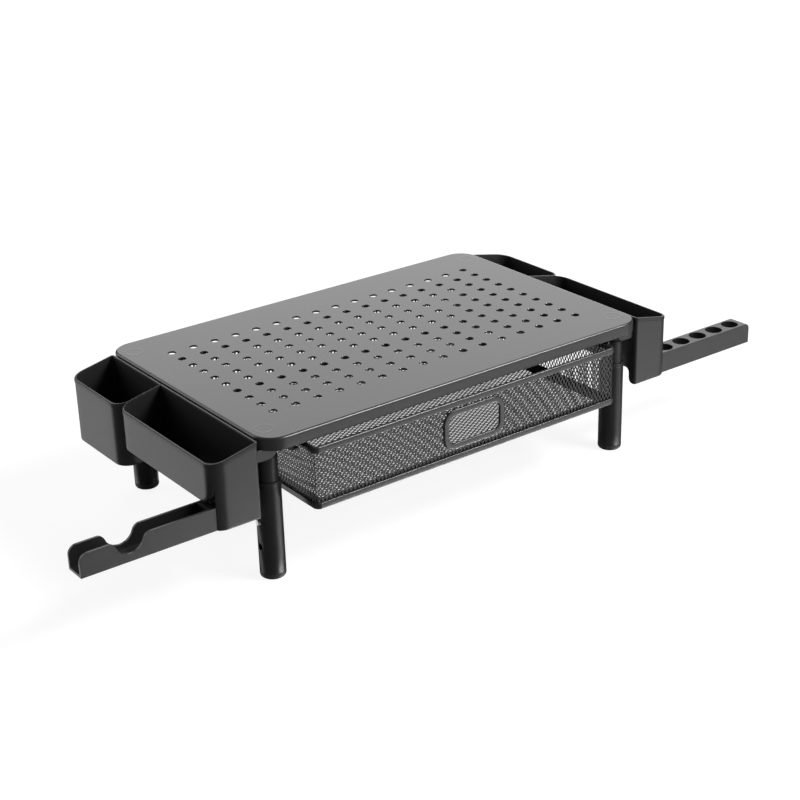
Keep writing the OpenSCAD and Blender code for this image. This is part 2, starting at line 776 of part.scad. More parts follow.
// Shoulder screw: its head lies in the arm's underside and its shank ends in the bin's boss
module arm_screw(side) {
    color(ZINC) at_pivot(side) {
        translate([0, 0, head_recess - pivot_head_h - 0.1]) cylinder(d = pivot_head_d, h = pivot_head_h);
        translate([0, 0, head_recess - 0.2]) cylinder(r = pivot_r, h = screw_top - arm_z - head_recess + 0.2);
    }
}

top_plate();
weld_nuts();
leg_studs();
leg_post(CORNERS[0]);  // leg_post_fl
leg_post(CORNERS[1]);  // leg_post_fr
leg_post(CORNERS[2]);  // leg_post_bl
leg_post(CORNERS[3]);  // leg_post_br
leg_tube(CORNERS[0]);  // leg_tube_fl
leg_tube(CORNERS[1]);  // leg_tube_fr
leg_tube(CORNERS[2]);  // leg_tube_bl
leg_tube(CORNERS[3]);  // leg_tube_br
leg_collar(CORNERS[0]);  // leg_collar_fl
leg_collar(CORNERS[1]);  // leg_collar_fr
leg_collar(CORNERS[2]);  // leg_collar_bl
leg_collar(CORNERS[3]);  // leg_collar_br
leg_foot(CORNERS[0]);  // leg_foot_fl
leg_foot(CORNERS[1]);  // leg_foot_fr
leg_foot(CORNERS[2]);  // leg_foot_bl
leg_foot(CORNERS[3]);  // leg_foot_br
snap_spring(CORNERS[0]);  // snap_spring_fl
snap_spring(CORNERS[1]);  // snap_spring_fr
snap_spring(CORNERS[2]);  // snap_spring_bl
snap_spring(CORNERS[3]);  // snap_spring_br
snap_button(CORNERS[0]);  // snap_button_fl
snap_button(CORNERS[1]);  // snap_button_fr
snap_button(CORNERS[2]);  // snap_button_bl
snap_button(CORNERS[3]);  // snap_button_br
runner(-1);  // runner_left
runner(1);  // runner_right
drawer_bumpers();
drawer_rim_upper();
drawer_rim_lower();
drawer_grip();
mesh_front();
mesh_back();
mesh_side(-1);  // mesh_left
mesh_side(1);  // mesh_right
mesh_floor();
glide(-1);  // glide_left
glide(1);  // glide_right
bin_left();
bin_right();
arm_left();
arm_right();
arm_screw(-1);  // arm_screw_left
arm_screw(1);  // arm_screw_right
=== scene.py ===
# %% [markdown]
# # A monitor stand with a mesh drawer
#
# The stand is a pressed steel plate full of air holes on four legs. A drawer of fine expanded metal hangs
# under it, a bin with two pockets is clipped to each side, and an arm folds out from under each bin.
#
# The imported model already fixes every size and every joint, so it is loaded first. The pieces that follow
# are made around it, in the same frame. The numbers below are millimetres until a mesh is written.

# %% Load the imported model
import math

import bmesh
import bpy
import numpy as np
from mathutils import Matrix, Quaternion, Vector


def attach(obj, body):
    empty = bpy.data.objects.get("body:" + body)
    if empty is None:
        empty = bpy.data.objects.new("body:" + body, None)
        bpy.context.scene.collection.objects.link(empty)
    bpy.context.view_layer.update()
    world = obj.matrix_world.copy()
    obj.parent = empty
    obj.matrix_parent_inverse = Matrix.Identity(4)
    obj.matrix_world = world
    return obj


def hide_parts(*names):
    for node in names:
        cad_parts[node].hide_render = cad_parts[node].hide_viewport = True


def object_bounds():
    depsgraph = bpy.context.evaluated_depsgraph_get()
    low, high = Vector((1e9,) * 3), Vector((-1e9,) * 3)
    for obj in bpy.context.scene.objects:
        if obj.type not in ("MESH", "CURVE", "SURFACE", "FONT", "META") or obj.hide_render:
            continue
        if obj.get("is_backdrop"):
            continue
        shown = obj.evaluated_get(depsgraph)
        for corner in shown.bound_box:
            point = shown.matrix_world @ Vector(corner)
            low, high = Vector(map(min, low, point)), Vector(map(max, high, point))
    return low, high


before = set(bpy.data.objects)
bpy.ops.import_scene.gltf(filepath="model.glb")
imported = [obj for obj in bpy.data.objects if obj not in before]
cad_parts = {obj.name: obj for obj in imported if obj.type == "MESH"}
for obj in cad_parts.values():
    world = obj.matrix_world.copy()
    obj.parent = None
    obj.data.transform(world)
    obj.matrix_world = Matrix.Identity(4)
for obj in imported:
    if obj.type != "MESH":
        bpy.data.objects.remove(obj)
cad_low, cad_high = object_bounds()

MM = 0.001

# %% [markdown]
# ## The camera
#
# The photograph was taken from the front left, a little above the stand, with a long lens. Such a lens keeps
# far and near corners almost the same size. A camera is simplest to aim by a place, a point to look at and a
# small roll about its own axis, because each of the three can then be changed alone.

# %% Camera
CAMERA_PLACE = Vector((-0.74114, -1.03075, 0.62251))
CAMERA_AIM = Vector((0.01356, -0.00621, 0.060))
CAMERA_ROLL = math.radians(-1.647)
LENS_MM = 75.29

camera_data = bpy.data.cameras.new("camera")
camera_data.lens = LENS_MM
camera_data.clip_start, camera_data.clip_end = 0.05, 20
camera = bpy.data.objects.new("camera", camera_data)
bpy.context.scene.collection.objects.link(camera)
camera.location = CAMERA_PLACE
camera.rotation_mode = "QUATERNION"
camera.rotation_quaternion = (CAMERA_AIM - CAMERA_PLACE).to_track_quat("-Z", "Y") @ Quaternion(
    (0, 0, 1), CAMERA_ROLL)
bpy.context.scene.camera = camera
print("camera is", round((CAMERA_AIM - CAMERA_PLACE).length, 3), "m from the stand")

# %% [markdown]
# ## Grids of points become meshes
#
# Every new piece is a surface worked out with numpy: a function of two parameters, sampled on a grid. A grid
# of points is turned into four-sided faces by joining each point to its neighbours, all at once and with no
# loop over the points. Where several grids share an edge, their doubled points are merged, which also closes
# the poles and turns squashed quads into triangles.

# %% Mesh helpers
ONE_POINT, NO_LENGTH = 2e-6, 1e-7  # metres: nearer points are merged, shorter edges are dissolved


def grid_quads(nu, nv, close_u=False, close_v=False, start=0):
    """Faces of a grid: point (i, j) is joined to (i+1, j), (i+1, j+1) and (i, j+1); a closed side wraps."""
    i, j = np.meshgrid(np.arange(nu - (not close_u)), np.arange(nv - (not close_v)), indexing="ij")
    k, m = (i + 1) % nu, (j + 1) % nv
    return start + np.stack([i * nv + j, k * nv + j, k * nv + m, i * nv + m], -1).reshape(-1, 4)


def shade_smooth(mesh, smooth_deg):
    """Smooth faces, but a sharp edge wherever two faces meet at more than smooth_deg."""
    mesh.polygons.foreach_set("use_smooth", np.ones(len(mesh.polygons), dtype=bool))
    mesh.set_sharp_from_angle(angle=math.radians(smooth_deg))


def write_mesh(name, points, quads, smooth_deg=35):
    """Writes points (mm) and quads into a mesh object at the origin, merges doubled points and turns every
    face outwards."""
    mesh = bpy.data.meshes.new(name)
    mesh.vertices.add(len(points))
    mesh.vertices.foreach_set("co", (points * MM).astype(np.float32).ravel())
    mesh.loops.add(quads.size)
    mesh.loops.foreach_set("vertex_index", quads.astype(np.int32).ravel())
    mesh.polygons.add(len(quads))
    mesh.polygons.foreach_set("loop_start", np.arange(0, quads.size, 4, dtype=np.int32))
    mesh.update(calc_edges=True)
    bm = bmesh.new()
    bm.from_mesh(mesh)
    bmesh.ops.remove_doubles(bm, verts=bm.verts, dist=ONE_POINT)
    bmesh.ops.dissolve_degenerate(bm, edges=bm.edges, dist=NO_LENGTH)
    bmesh.ops.recalc_face_normals(bm, faces=bm.faces)
    bm.to_mesh(mesh)
    bm.free()
    shade_smooth(mesh, smooth_deg)
    obj = bpy.data.objects.new(name, mesh)
    bpy.context.scene.collection.objects.link(obj)
    return obj


def surfaces(name, grids, **options):
    """Joins grids, each (points of shape (nu, nv, 3), close_u, close_v), into one object."""
    points, quads, start = [], [], 0
    for grid, close_u, close_v in grids:
        nu, nv = grid.shape[:2]
        points.append(grid.reshape(-1, 3))
        quads.append(grid_quads(nu, nv, close_u, close_v, start))
        start += nu * nv
    return write_mesh(name, np.concatenate(points), np.concatenate(quads), **options)


def bevel(obj, width, over_deg):
    """Rounds the edges sharper than over_deg in two steps."""
    edge = obj.modifiers.new("edge", "BEVEL")
    edge.width, edge.segments, edge.limit_method = width * MM, 2, "ANGLE"
    edge.angle_limit = math.radians(over_deg)


def place(obj, body, slot, material, *nodes):
    """Rides a piece on its body, gives it its finish and lets it stand for nodes. The slot argument is not
    used.
    """
    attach(obj, body)
    obj.data.materials.clear()
    obj.data.materials.append(material)
    if nodes:
        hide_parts(*nodes)
    print(obj.name, "has", len(obj.data.polygons), "faces and rides on", body)


print("a grid of 3 by 3 points has", len(grid_quads(3, 3)), "faces")

# %% [markdown]
# ## Curves in a plane
#
# Most parts of the stand are a profile carried along a path. Small helpers do that work: one rounds the
# corners of a profile, as a bend in sheet steel or a mould's edge does, one walks round a rectangle with
# rounded corners at any distance inside it, and one turns a profile about an upright line.

# %% Profile and path helpers
def rounded(profile, radius, steps=4):
    """Rounds each corner p of a closed profile with a parabola between the points a and b, one radius before
    and after it: (1 - t) squared times a, plus 2 t (1 - t) times p, plus t squared times b."""
    p = np.asarray(profile, float)
    radius = np.broadcast_to(np.asarray(radius, float), len(p))[:, None]
    to_last, to_next = np.roll(p, 1, 0) - p, np.roll(p, -1, 0) - p
    a = p + radius * to_last / np.linalg.norm(to_last, axis=1, keepdims=True)
    b = p + radius * to_next / np.linalg.norm(to_next, axis=1, keepdims=True)
    t = np.linspace(0, 1, steps + 1)[None, :, None]
    curve = (1 - t) ** 2 * a[:, None] + 2 * t * (1 - t) * p[:, None] + t ** 2 * b[:, None]
    return curve.reshape(-1, 2)


def round_rect(width, depth, radius, inset, steps=10):
    """Path round a rectangle, shape (4 * (steps + 1), len(inset), 2). At a given inset the corner's centre
    lies max(radius, inset) inside both sides, and the arc about it has the radius that is left."""
    inset = np.atleast_1d(np.asarray(inset, float))
    turn = np.linspace(0, np.pi / 2, steps + 1)
    angle = (turn[None, :] + np.arange(4)[:, None] * np.pi / 2).ravel()
    sx = np.repeat([1, -1, -1, 1], steps + 1)[:, None]
    sy = np.repeat([1, 1, -1, -1], steps + 1)[:, None]
    centre, left = np.maximum(radius, inset), np.maximum(radius - inset, 0)
    x = sx * (width / 2 - centre) + left * np.cos(angle)[:, None]
    y = sy * (depth / 2 - centre) + left * np.sin(angle)[:, None]
    return np.stack([x, y], -1)


def turned(profile, x, y, steps=48):
    """A profile of (radius, height) turned about the upright line through x, y: at each angle a point lies at
    x plus radius times cosine and at y plus radius times sine."""
    rz = np.asarray(profile, float)
    a = np.arange(steps) * 2 * np.pi / steps
    return np.stack([
        x + rz[None, :, 0] * np.cos(a)[:, None],
        y + rz[None, :, 0] * np.sin(a)[:, None],
        np.broadcast_to(rz[None, :, 1], (steps, len(rz)))], -1)


def lathe(name, profile, x, y, steps=48):
    """The turned profile as an object of its own."""
    return surfaces(name, [(turned(profile, x, y, steps), True, False)])


print("a square's path has", len(round_rect(1, 1, 0.2, 0)), "points")

# %% [markdown]
# ## Finishes
#
# The stand has few colours but many surfaces: powder paint on steel, moulded plastic with a fine grain,
# rubber and plain zinc. The grain is what tells them apart, so it is made once as a node group with named
# inputs. The group gives out only masks and heights. The shader stays in each material, where its constant
# values are set on its own sockets.

# %% Node groups
def maths(tree, operation, *inputs, kind="Math"):
    """The result of a Math or VectorMath node. Each input is a plain value or another node's output."""
    node = tree.nodes.new("ShaderNode" + kind)
    node.operation = operation
    for socket, value in zip(node.inputs, inputs):
        if isinstance(value, bpy.types.NodeSocket):
            tree.links.new(value, socket)
        else:
            socket.default_value = value
    return node.outputs["Vector" if kind == "VectorMath" and operation != "LENGTH" else "Value"]


def vectors(tree, operation, *inputs):
    """The same for vectors."""
    return maths(tree, operation, *inputs, kind="VectorMath")


def mapped(tree, value, given, wanted, way="LINEAR"):
    """Maps a value from the given span to the wanted one and holds it at both ends."""
    node = tree.nodes.new("ShaderNodeMapRange")
    node.interpolation_type = way
    for label, number in zip(("From Min", "From Max", "To Min", "To Max"), (*given, *wanted)):
        node.inputs[label].default_value = number
    tree.links.new(value, node.inputs["Value"])
    return node.outputs["Result"]


def new_group(name, inputs, outputs):
    """An empty shader group with float or vector inputs and float outputs."""
    group = bpy.data.node_groups.new(name, "ShaderNodeTree")
    for label, kind, value in inputs:
        socket = group.interface.new_socket(label, in_out="INPUT", socket_type=kind)
        if value is not None:
            socket.default_value = value
    for label in outputs:
        group.interface.new_socket(label, in_out="OUTPUT", socket_type="NodeSocketFloat")
    return group, group.nodes.new("NodeGroupInput"), group.nodes.new("NodeGroupOutput")


CLOUD_SHARE = 0.6
MEAN_TONE = 0.5 * (1 + CLOUD_SHARE)


def grain_group():
    """Fine lumps of powder paint or spark-eroded plastic, over slow cloudy changes of gloss. The tone is the
    fine noise plus a share of the cloudy one, and the roughness moves with it about its mean."""
    group, given, result = new_group(
        "surface_grain",
        [("Vector", "NodeSocketVector", None), ("Grain per metre", "NodeSocketFloat", 900.0),
         ("Cloud per metre", "NodeSocketFloat", 9.0), ("Roughness", "NodeSocketFloat", 0.4),
         ("Roughness change", "NodeSocketFloat", 0.1)],
        ["Height", "Roughness", "Tone"])
    nodes, links = group.nodes, group.links
    fine, cloud = nodes.new("ShaderNodeTexNoise"), nodes.new("ShaderNodeTexNoise")
    for noise, scale, detail in ((fine, "Grain per metre", 3.0), (cloud, "Cloud per metre", 4.0)):
        noise.inputs["Detail"].default_value = detail
        links.new(given.outputs["Vector"], noise.inputs["Vector"])
        links.new(given.outputs[scale], noise.inputs["Scale"])
    fine.inputs["Roughness"].default_value = 0.6
    tone = maths(group, "MULTIPLY_ADD", cloud.outputs["Fac"], CLOUD_SHARE, fine.outputs["Fac"])
    centred = maths(group, "SUBTRACT", tone, MEAN_TONE)
    rough = maths(group, "MULTIPLY_ADD", centred, given.outputs["Roughness change"], given.outputs["Roughness"])
    links.new(fine.outputs["Fac"], result.inputs["Height"])
    links.new(rough, result.inputs["Roughness"])
    links.new(tone, result.inputs["Tone"])
    return group


GRAIN = grain_group()
print("node group:", GRAIN.name)


# %% Finish maker
GRAIN_DEPTH, RING_DEPTH = 0.0001, 0.0003


def finish(name, dark, light, roughness, grain, bump, metallic=0.0, specular=0.5):
    """A painted, moulded or plated finish: colour from dark to light by the grain group's tone."""
    material = bpy.data.materials.new(name)
    material.use_nodes = True
    nodes, links = material.node_tree.nodes, material.node_tree.links
    shader = nodes["Principled BSDF"]
    shader.inputs["Metallic"].default_value = metallic
    shader.inputs["Specular IOR Level"].default_value = specular
    where = nodes.new("ShaderNodeTexCoord")
    group = nodes.new("ShaderNodeGroup")
    group.node_tree = GRAIN
    group.inputs["Grain per metre"].default_value = grain
    group.inputs["Roughness"].default_value = roughness
    links.new(where.outputs["Object"], group.inputs["Vector"])
    ramp = nodes.new("ShaderNodeMix")
    ramp.data_type = "RGBA"
    ramp.inputs["A"].default_value = (*dark, 1)
    ramp.inputs["B"].default_value = (*light, 1)
    links.new(group.outputs["Tone"], ramp.inputs["Factor"])
    links.new(ramp.outputs["Result"], shader.inputs["Base Color"])
    links.new(group.outputs["Roughness"], shader.inputs["Roughness"])
    relief = nodes.new("ShaderNodeBump")
    relief.inputs["Strength"].default_value = bump
    relief.inputs["Distance"].default_value = GRAIN_DEPTH
    links.new(group.outputs["Height"], relief.inputs["Height"])
    links.new(relief.outputs["Normal"], shader.inputs["Normal"])
    print("finish", name, "has roughness", roughness)
    return material


def ring_marks(material, at_x, at_y, mid_y, radius=7.0, width=0.9, strength=0.4):
    """Faint rings where the weld nuts sit under the sheet. The place, folded about both middle lines, is
    taken from one ring's centre; its length is the distance, and the ring is a bump near one distance."""
    tree = material.node_tree
    nodes, links = tree.nodes, tree.links
    where = next(n for n in nodes if n.type == "TEX_COORD")
    relief = next(n for n in nodes if n.type == "BUMP")
    from_middle = vectors(tree, "SUBTRACT", where.outputs["Object"], (0, mid_y * MM, 0))
    from_ring = vectors(tree, "SUBTRACT", vectors(tree, "ABSOLUTE", from_middle), (at_x * MM, at_y * MM, 0))
    away = vectors(tree, "LENGTH", vectors(tree, "MULTIPLY", from_ring, (1 / MM, 1 / MM, 0)))
    gap = maths(tree, "ABSOLUTE", maths(tree, "SUBTRACT", away, radius))
    mark = nodes.new("ShaderNodeBump")
    mark.inputs["Strength"].default_value = strength
    mark.inputs["Distance"].default_value = RING_DEPTH
    links.new(mapped(tree, gap, (0, width), (1, 0), "SMOOTHSTEP"), mark.inputs["Height"])
    links.new(relief.outputs["Normal"], mark.inputs["Normal"])
    links.new(mark.outputs["Normal"], nodes["Principled BSDF"].inputs["Normal"])


def black(name, dark, light, roughness, **values):
    """A finish without hue, between two greys."""
    return finish(name, (dark,) * 3, (light,) * 3, roughness, **values)


LEG_X, LEG_Y, PLATE_Y = 172.0, 96.0, 3.75
PLATE_PAINT = black("plate_powder_paint", 0.015, 0.022, 0.23, grain=1600, bump=0.09, specular=0.46)
ring_marks(PLATE_PAINT, LEG_X, LEG_Y, PLATE_Y)
LEG_PAINT = black("leg_satin_paint", 0.009, 0.014, 0.30, grain=1200, bump=0.03, specular=0.25)
LEG_PLASTIC = black("leg_plastic", 0.009, 0.014, 0.38, grain=1400, bump=0.15, specular=0.25)
DRAWER_PAINT = black("drawer_powder_paint", 0.013, 0.020, 0.23, grain=1600, bump=0.12)
MESH_PAINT = black("mesh_paint", 0.009, 0.014, 0.30, grain=1400, bump=0.1)
BIN_PLASTIC = black("bin_moulded_plastic", 0.010, 0.016, 0.34, grain=1500, bump=0.2, specular=0.45)
RUBBER = black("foot_rubber", 0.009, 0.014, 0.50, grain=700, bump=0.2)
RUNNER_PAINT = black("runner_paint", 0.012, 0.020, 0.45, grain=1400, bump=0.1)
ZINC = finish("zinc_plate", (0.42, 0.43, 0.45), (0.60, 0.61, 0.63), 0.34, grain=500, bump=0.1, metallic=1.0)

# %% [markdown]
# ## The top plate
#
# The plate is one sheet of steel, 1.5 mm thick. Its air holes are punched, its edge is rolled down over a
# small radius, and the skirt under it hides the drawer's runners. A boolean cut with 160 cylinders would
# leave long thin faces. It is cleaner to tile the middle with 160 small cells, each a square ring of faces
# round its own hole, and to carry the edge's profile round the outside. Both share the points on the tiles'
# outer border.

# %% Holes in cells
SIDE_STEPS = 6


def cell_ring():
    """Points round a square from -1 to 1, SIDE_STEPS a side, and the matching directions on a circle."""
    t = np.arange(SIDE_STEPS) / SIDE_STEPS * 2 - 1
    one = np.ones(SIDE_STEPS)
    square = np.concatenate([np.c_[t, -one], np.c_[one, t], np.c_[-t, one], np.c_[-one, -t]])
    angle = np.radians(-135) + np.arange(4 * SIDE_STEPS) * np.pi / (2 * SIDE_STEPS)
    return square, np.c_[np.cos(angle), np.sin(angle)]


def holed_cell(half_w, half_h, rows):
    """One cell, shape (points round it, len(rows), 3). A row is (radius, depth); radius None is the border."""
    square, circle = cell_ring()
    border = square * (half_w, half_h)
    layers = [np.c_[border if r is None else circle * r, np.full(len(square), z)] for r, z in rows]
    return np.stack(layers, 1)


print("each hole has", 4 * SIDE_STEPS, "points round it")

# %% Top plate
SHEET = 1.5
PLATE_W, PLATE_D, PLATE_TOP, PLATE_R = 370.0, 235.0, 120.0, 18.0
EDGE_R, SKIRT = 1.9, 10.0
HEM_OUT, HEM_IN, SUPPORT = 0.4, 0.3, 0.4
HOLE_R, PITCH_X, PITCH_Y, COLS, ROWS = 3.2, 20.0, 16.5, 16, 10
CHAMFER = 0.3


def plate_cells():
    """A copy of one holed cell at each crossing of the columns and rows. From its border the cell goes over a
    chamfer down the hole and back out under the sheet."""
    cell = holed_cell(PITCH_X / 2, PITCH_Y / 2, [
        (None, 0), (HOLE_R + CHAMFER, 0), (HOLE_R, -CHAMFER), (HOLE_R, -SHEET), (None, -SHEET)])
    x = (np.arange(COLS) - (COLS - 1) / 2) * PITCH_X
    y = (np.arange(ROWS) - (ROWS - 1) / 2) * PITCH_Y
    centre = np.stack([*np.meshgrid(x, y, indexing="ij"), np.zeros((COLS, ROWS))], -1).reshape(-1, 1, 1, 3)
    return [(c, True, False) for c in centre + cell[None]]


def plate_edge():
    """From the tiles' border out to the corners' centres, over the roll, down the skirt and back inside. A
    point is its corner's centre plus reach times the direction outwards; the roll adds the sine of its turn
    to the reach and the cosine to the height. The four sides are one side, turned by quarters."""
    nx, ny, arc = COLS * SIDE_STEPS, ROWS * SIDE_STEPS, 12
    hx, hy = COLS * PITCH_X / 2, ROWS * PITCH_Y / 2
    bx, by = PLATE_W / 2 - PLATE_R, PLATE_D / 2 - PLATE_R
    inner, base, out = [], [], []
    for k in range(4):
        turn = np.linalg.matrix_power([[0, -1], [1, 0]], k)
        n, along, side = (ny, hy, hx) if k % 2 else (nx, hx, hy)
        b_along, b_side = (by, bx) if k % 2 else (bx, by)
        t = np.arange(n) / n * 2 - 1
        a = np.linspace(0, np.pi / 2, arc + 1)
        one, corner = np.ones(n), np.ones(arc + 1)
        inner.append(np.r_[np.c_[t * along, -one * side], np.c_[corner * along, -corner * side]] @ turn.T)
        base.append(np.r_[np.c_[t * b_along, -one * b_side],
                          np.c_[corner * b_along, -corner * b_side]] @ turn.T)
        out.append(np.r_[np.c_[0 * one, -one], np.c_[np.sin(a), -np.cos(a)]] @ turn.T)
    inner, base, out = map(np.concatenate, (inner, base, out))
    a = np.radians(np.linspace(0, 90, 7))
    rim, inner_r = PLATE_R - EDGE_R, EDGE_R - SHEET
    reach = np.r_[0, rim - SUPPORT, rim + EDGE_R * np.sin(a), PLATE_R, PLATE_R - HEM_OUT,
                  PLATE_R - SHEET + HEM_IN, PLATE_R - SHEET, rim + inner_r * np.sin(a[::-1]), rim - SUPPORT, 0]
    height = np.r_[0, 0, -EDGE_R + EDGE_R * np.cos(a), -SKIRT + HEM_OUT, -SKIRT, -SKIRT,
                   -SKIRT + HEM_IN, -EDGE_R + inner_r * np.cos(a[::-1]), -SHEET, -SHEET]
    rows = base[:, None] + out[:, None] * reach[None, :, None]
    rows = np.concatenate([rows, np.broadcast_to(height[None, :, None], (*rows.shape[:2], 1))], -1)
    first = np.c_[inner, np.zeros(len(inner))][:, None]
    last = np.c_[inner, np.full(len(inner), -SHEET)][:, None]
    return np.concatenate([first, rows, last], 1)


def plate():
    """The holed cells and the edge, lifted to the plate's place."""
    grids = [*plate_cells(), (plate_edge(), True, False)]
    at = np.array([0, PLATE_Y, PLATE_TOP])
    return surfaces("top_plate_sheet", [(g + at, u, v) for g, u, v in grids], smooth_deg=30)


place(plate(), "stand", "plate_steel", PLATE_PAINT, "top_plate")

# %% [markdown]
# ## The legs
#
# A leg is a steel tube that slides on a plastic post. Three setting holes on its outer side take the snap
# button, a collar closes the tube's top and a rubber foot its bottom. The tube is a flat strip with three
# holed cells, bent round a cylinder, and Solidify gives it its wall. Post, collar and foot are turned shapes,
# so a profile of radius and height says all about them.

# %% Tubes
CORNERS = {"fl": (-1, -1), "fr": (1, -1), "bl": (-1, 1), "br": (1, 1)}
TUBE_R, TUBE_WALL, TUBE_BEVEL = 10.0, 1.2, 0.2
TUBE_Z = (5.0, 77.0)
SETTINGS = (26.8, 46.8, 66.8)
SETTING_R = 2.8


def leg_axis(corner):
    """Where a corner's leg stands: LEG_X and LEG_Y, with the corner's signs, from the plate's middle."""
    sx, sy = CORNERS[corner]
    return sx * LEG_X, sy * LEG_Y + PLATE_Y


def tube_strip():
    """Strip of (arc length, height): three holed cells one over the other, and plain grids round them. The
    cells take a sixth of the way round, and half a step between settings up and down."""
    half_w = TUBE_R * np.pi / 6
    half_h = (SETTINGS[1] - SETTINGS[0]) / 2
    cell = holed_cell(half_w, half_h, [(None, 0), (SETTING_R, 0)])[..., :2]
    t = np.linspace(-1, 1, SIDE_STEPS + 1)
    low, high = SETTINGS[0] - half_h, SETTINGS[2] + half_h
    heights = np.r_[TUBE_Z[0], *[z + t * half_h for z in SETTINGS], TUBE_Z[1]]
    around = np.linspace(half_w, 2 * np.pi * TUBE_R - half_w, 31)
    grids = [(cell + (0, z), True, False) for z in SETTINGS]
    for s, z in ((around, heights), (t * half_w, [TUBE_Z[0], low]), (t * half_w, [high, TUBE_Z[1]])):
        grids.append((np.stack(np.meshgrid(s, z, indexing="ij"), -1), False, False))
    return grids


def leg_tube(corner):
    """The strip bent into a tube. Arc length over radius is the angle, counted from the leg's outer side."""
    x, y = leg_axis(corner)
    sx = CORNERS[corner][0]

    def bent(grid):
        """Arc length becomes angle."""
        a = grid[..., 0] / TUBE_R
        return np.stack([x + sx * TUBE_R * np.cos(a), y + TUBE_R * np.sin(a), grid[..., 1]], -1)

    tube = surfaces("tube_" + corner, [(bent(g), u, v) for g, u, v in tube_strip()])
    wall = tube.modifiers.new("wall", "SOLIDIFY")
    wall.thickness, wall.offset = TUBE_WALL * MM, -1
    bevel(tube, TUBE_BEVEL, 60)
    return tube


for corner in CORNERS:
    place(leg_tube(corner), "leg_" + corner, "leg_steel", LEG_PAINT, "leg_tube_" + corner)

# %% Posts, collars and feet
POST_PROFILE = [
    (0, 94), (6.9, 94), (6.9, 30.2), (7.1, 30), (8.1, 30), (8.5, 30.4), (8.5, 99.6), (8.2, 100), (7.7, 100.1),
    (7.7, 109.6), (8.2, 109.7), (8.5, 110), (8.5, 112.2), (8.2, 112.5), (0, 112.5)]
COLLAR_PROFILE = rounded(
    [(8.58, 68.5), (8.75, 68.5), (8.75, 77.0), (10.0, 77.0), (10.0, 79.5), (8.58, 79.5)],
    [0.05, 0.05, 0.0, 0.2, 0.6, 0.25])
FOOT_R, FOOT_ROUND = 10.0, 2.5
turn = np.radians(np.arange(0, 91, 15))
FOOT_PROFILE = np.r_[
    [(0, 0)], np.c_[FOOT_R - FOOT_ROUND + FOOT_ROUND * np.sin(turn), FOOT_ROUND - FOOT_ROUND * np.cos(turn)],
    [(FOOT_R, 4.6), (9.8, 4.95), (8.7, 5), (8.7, 8.5), (0, 8.5)]]

for corner in CORNERS:
    x, y = leg_axis(corner)
    place(lathe("post_" + corner, POST_PROFILE, x, y), "stand", "leg_plastic", LEG_PLASTIC,
          "leg_post_" + corner)
    collar = lathe("collar_" + corner, np.r_[COLLAR_PROFILE, COLLAR_PROFILE[:1]], x, y)
    place(collar, "leg_" + corner, "leg_plastic", LEG_PLASTIC, "leg_collar_" + corner)
    place(lathe("foot_" + corner, FOOT_PROFILE, x, y), "leg_" + corner, "foot_rubber", RUBBER,
          "leg_foot_" + corner)

# %% [markdown]
# ## The drawer's rims and grip
#
# The drawer hangs between two frames of angle steel, and a flat oval band frames the finger hole in its
# front. Each is one profile carried along a rectangle with rounded corners. The bends of the profile are
# rounded too, because the thin bright line along each rim in the photograph is light caught by that bend.

# %% Rims and grip
DRAWER_W, DRAWER_D, DRAWER_R = 298.0, 220.0, 5.0
DRAWER_Y, DRAWER_LOW, DRAWER_HIGH = -11.25, 57.0, 107.0
FRONT_Y = DRAWER_Y - DRAWER_D / 2
RIM_H, RIM_T, FLANGE_T = 5.0, 1.5, 1.2
UPPER_FLANGE, LOWER_FLANGE = 2.8, 9.5
MESH_LOW, MESH_HIGH = DRAWER_LOW + FLANGE_T, DRAWER_HIGH - FLANGE_T
RIM_UPPER = rounded(
    [(0, DRAWER_HIGH - RIM_H), (0, DRAWER_HIGH), (UPPER_FLANGE, DRAWER_HIGH), (UPPER_FLANGE, MESH_HIGH),
     (RIM_T, MESH_HIGH), (RIM_T, DRAWER_HIGH - RIM_H)],
    [0.3, 1.3, 0.4, 0.3, 0.2, 0.3])
RIM_LOWER = rounded(
    [(0, DRAWER_LOW), (0, DRAWER_LOW + RIM_H), (RIM_T, DRAWER_LOW + RIM_H), (RIM_T, MESH_LOW),
     (LOWER_FLANGE, MESH_LOW), (LOWER_FLANGE, DRAWER_LOW)],
    [0.9, 0.8, 0.4, 0.2, 0.3, 0.3])


def drawer_rim(name, profile):
    """A profile of (inset, height) along the drawer's rounded outline."""
    path = round_rect(DRAWER_W, DRAWER_D, DRAWER_R, profile[:, 0])
    height = np.broadcast_to(profile[None, :, 1:], (*path.shape[:2], 1))
    return surfaces(name, [(np.concatenate([path, height], -1) + (0, DRAWER_Y, 0), True, True)])


place(drawer_rim("rim_upper", RIM_UPPER), "drawer", "drawer_steel", DRAWER_PAINT, "drawer_rim_upper")
place(drawer_rim("rim_lower", RIM_LOWER), "drawer", "drawer_steel", DRAWER_PAINT, "drawer_rim_lower")

GRIP_W, GRIP_H, GRIP_R, GRIP_BAND, GRIP_Z = 60.0, 33.0, 11.0, 5.0, 83.3
GRIP_PROFILE = rounded([(0, RIM_T), (0, 0), (GRIP_BAND, 0), (GRIP_BAND, RIM_T)], [0.2, 0.9, 0.9, 0.2])


def grip_frame():
    """The band's profile of (inset, depth) along the grip's outline, which stands upright."""
    path = round_rect(GRIP_W, GRIP_H, GRIP_R, GRIP_PROFILE[:, 0], steps=14)
    depth = np.broadcast_to(GRIP_PROFILE[None, :, 1], path.shape[:2])
    return surfaces("grip_frame", [(np.stack(
        [path[..., 0], FRONT_Y + depth, GRIP_Z + path[..., 1]], -1), True, True)])


place(grip_frame(), "drawer", "drawer_steel", DRAWER_PAINT, "drawer_grip")

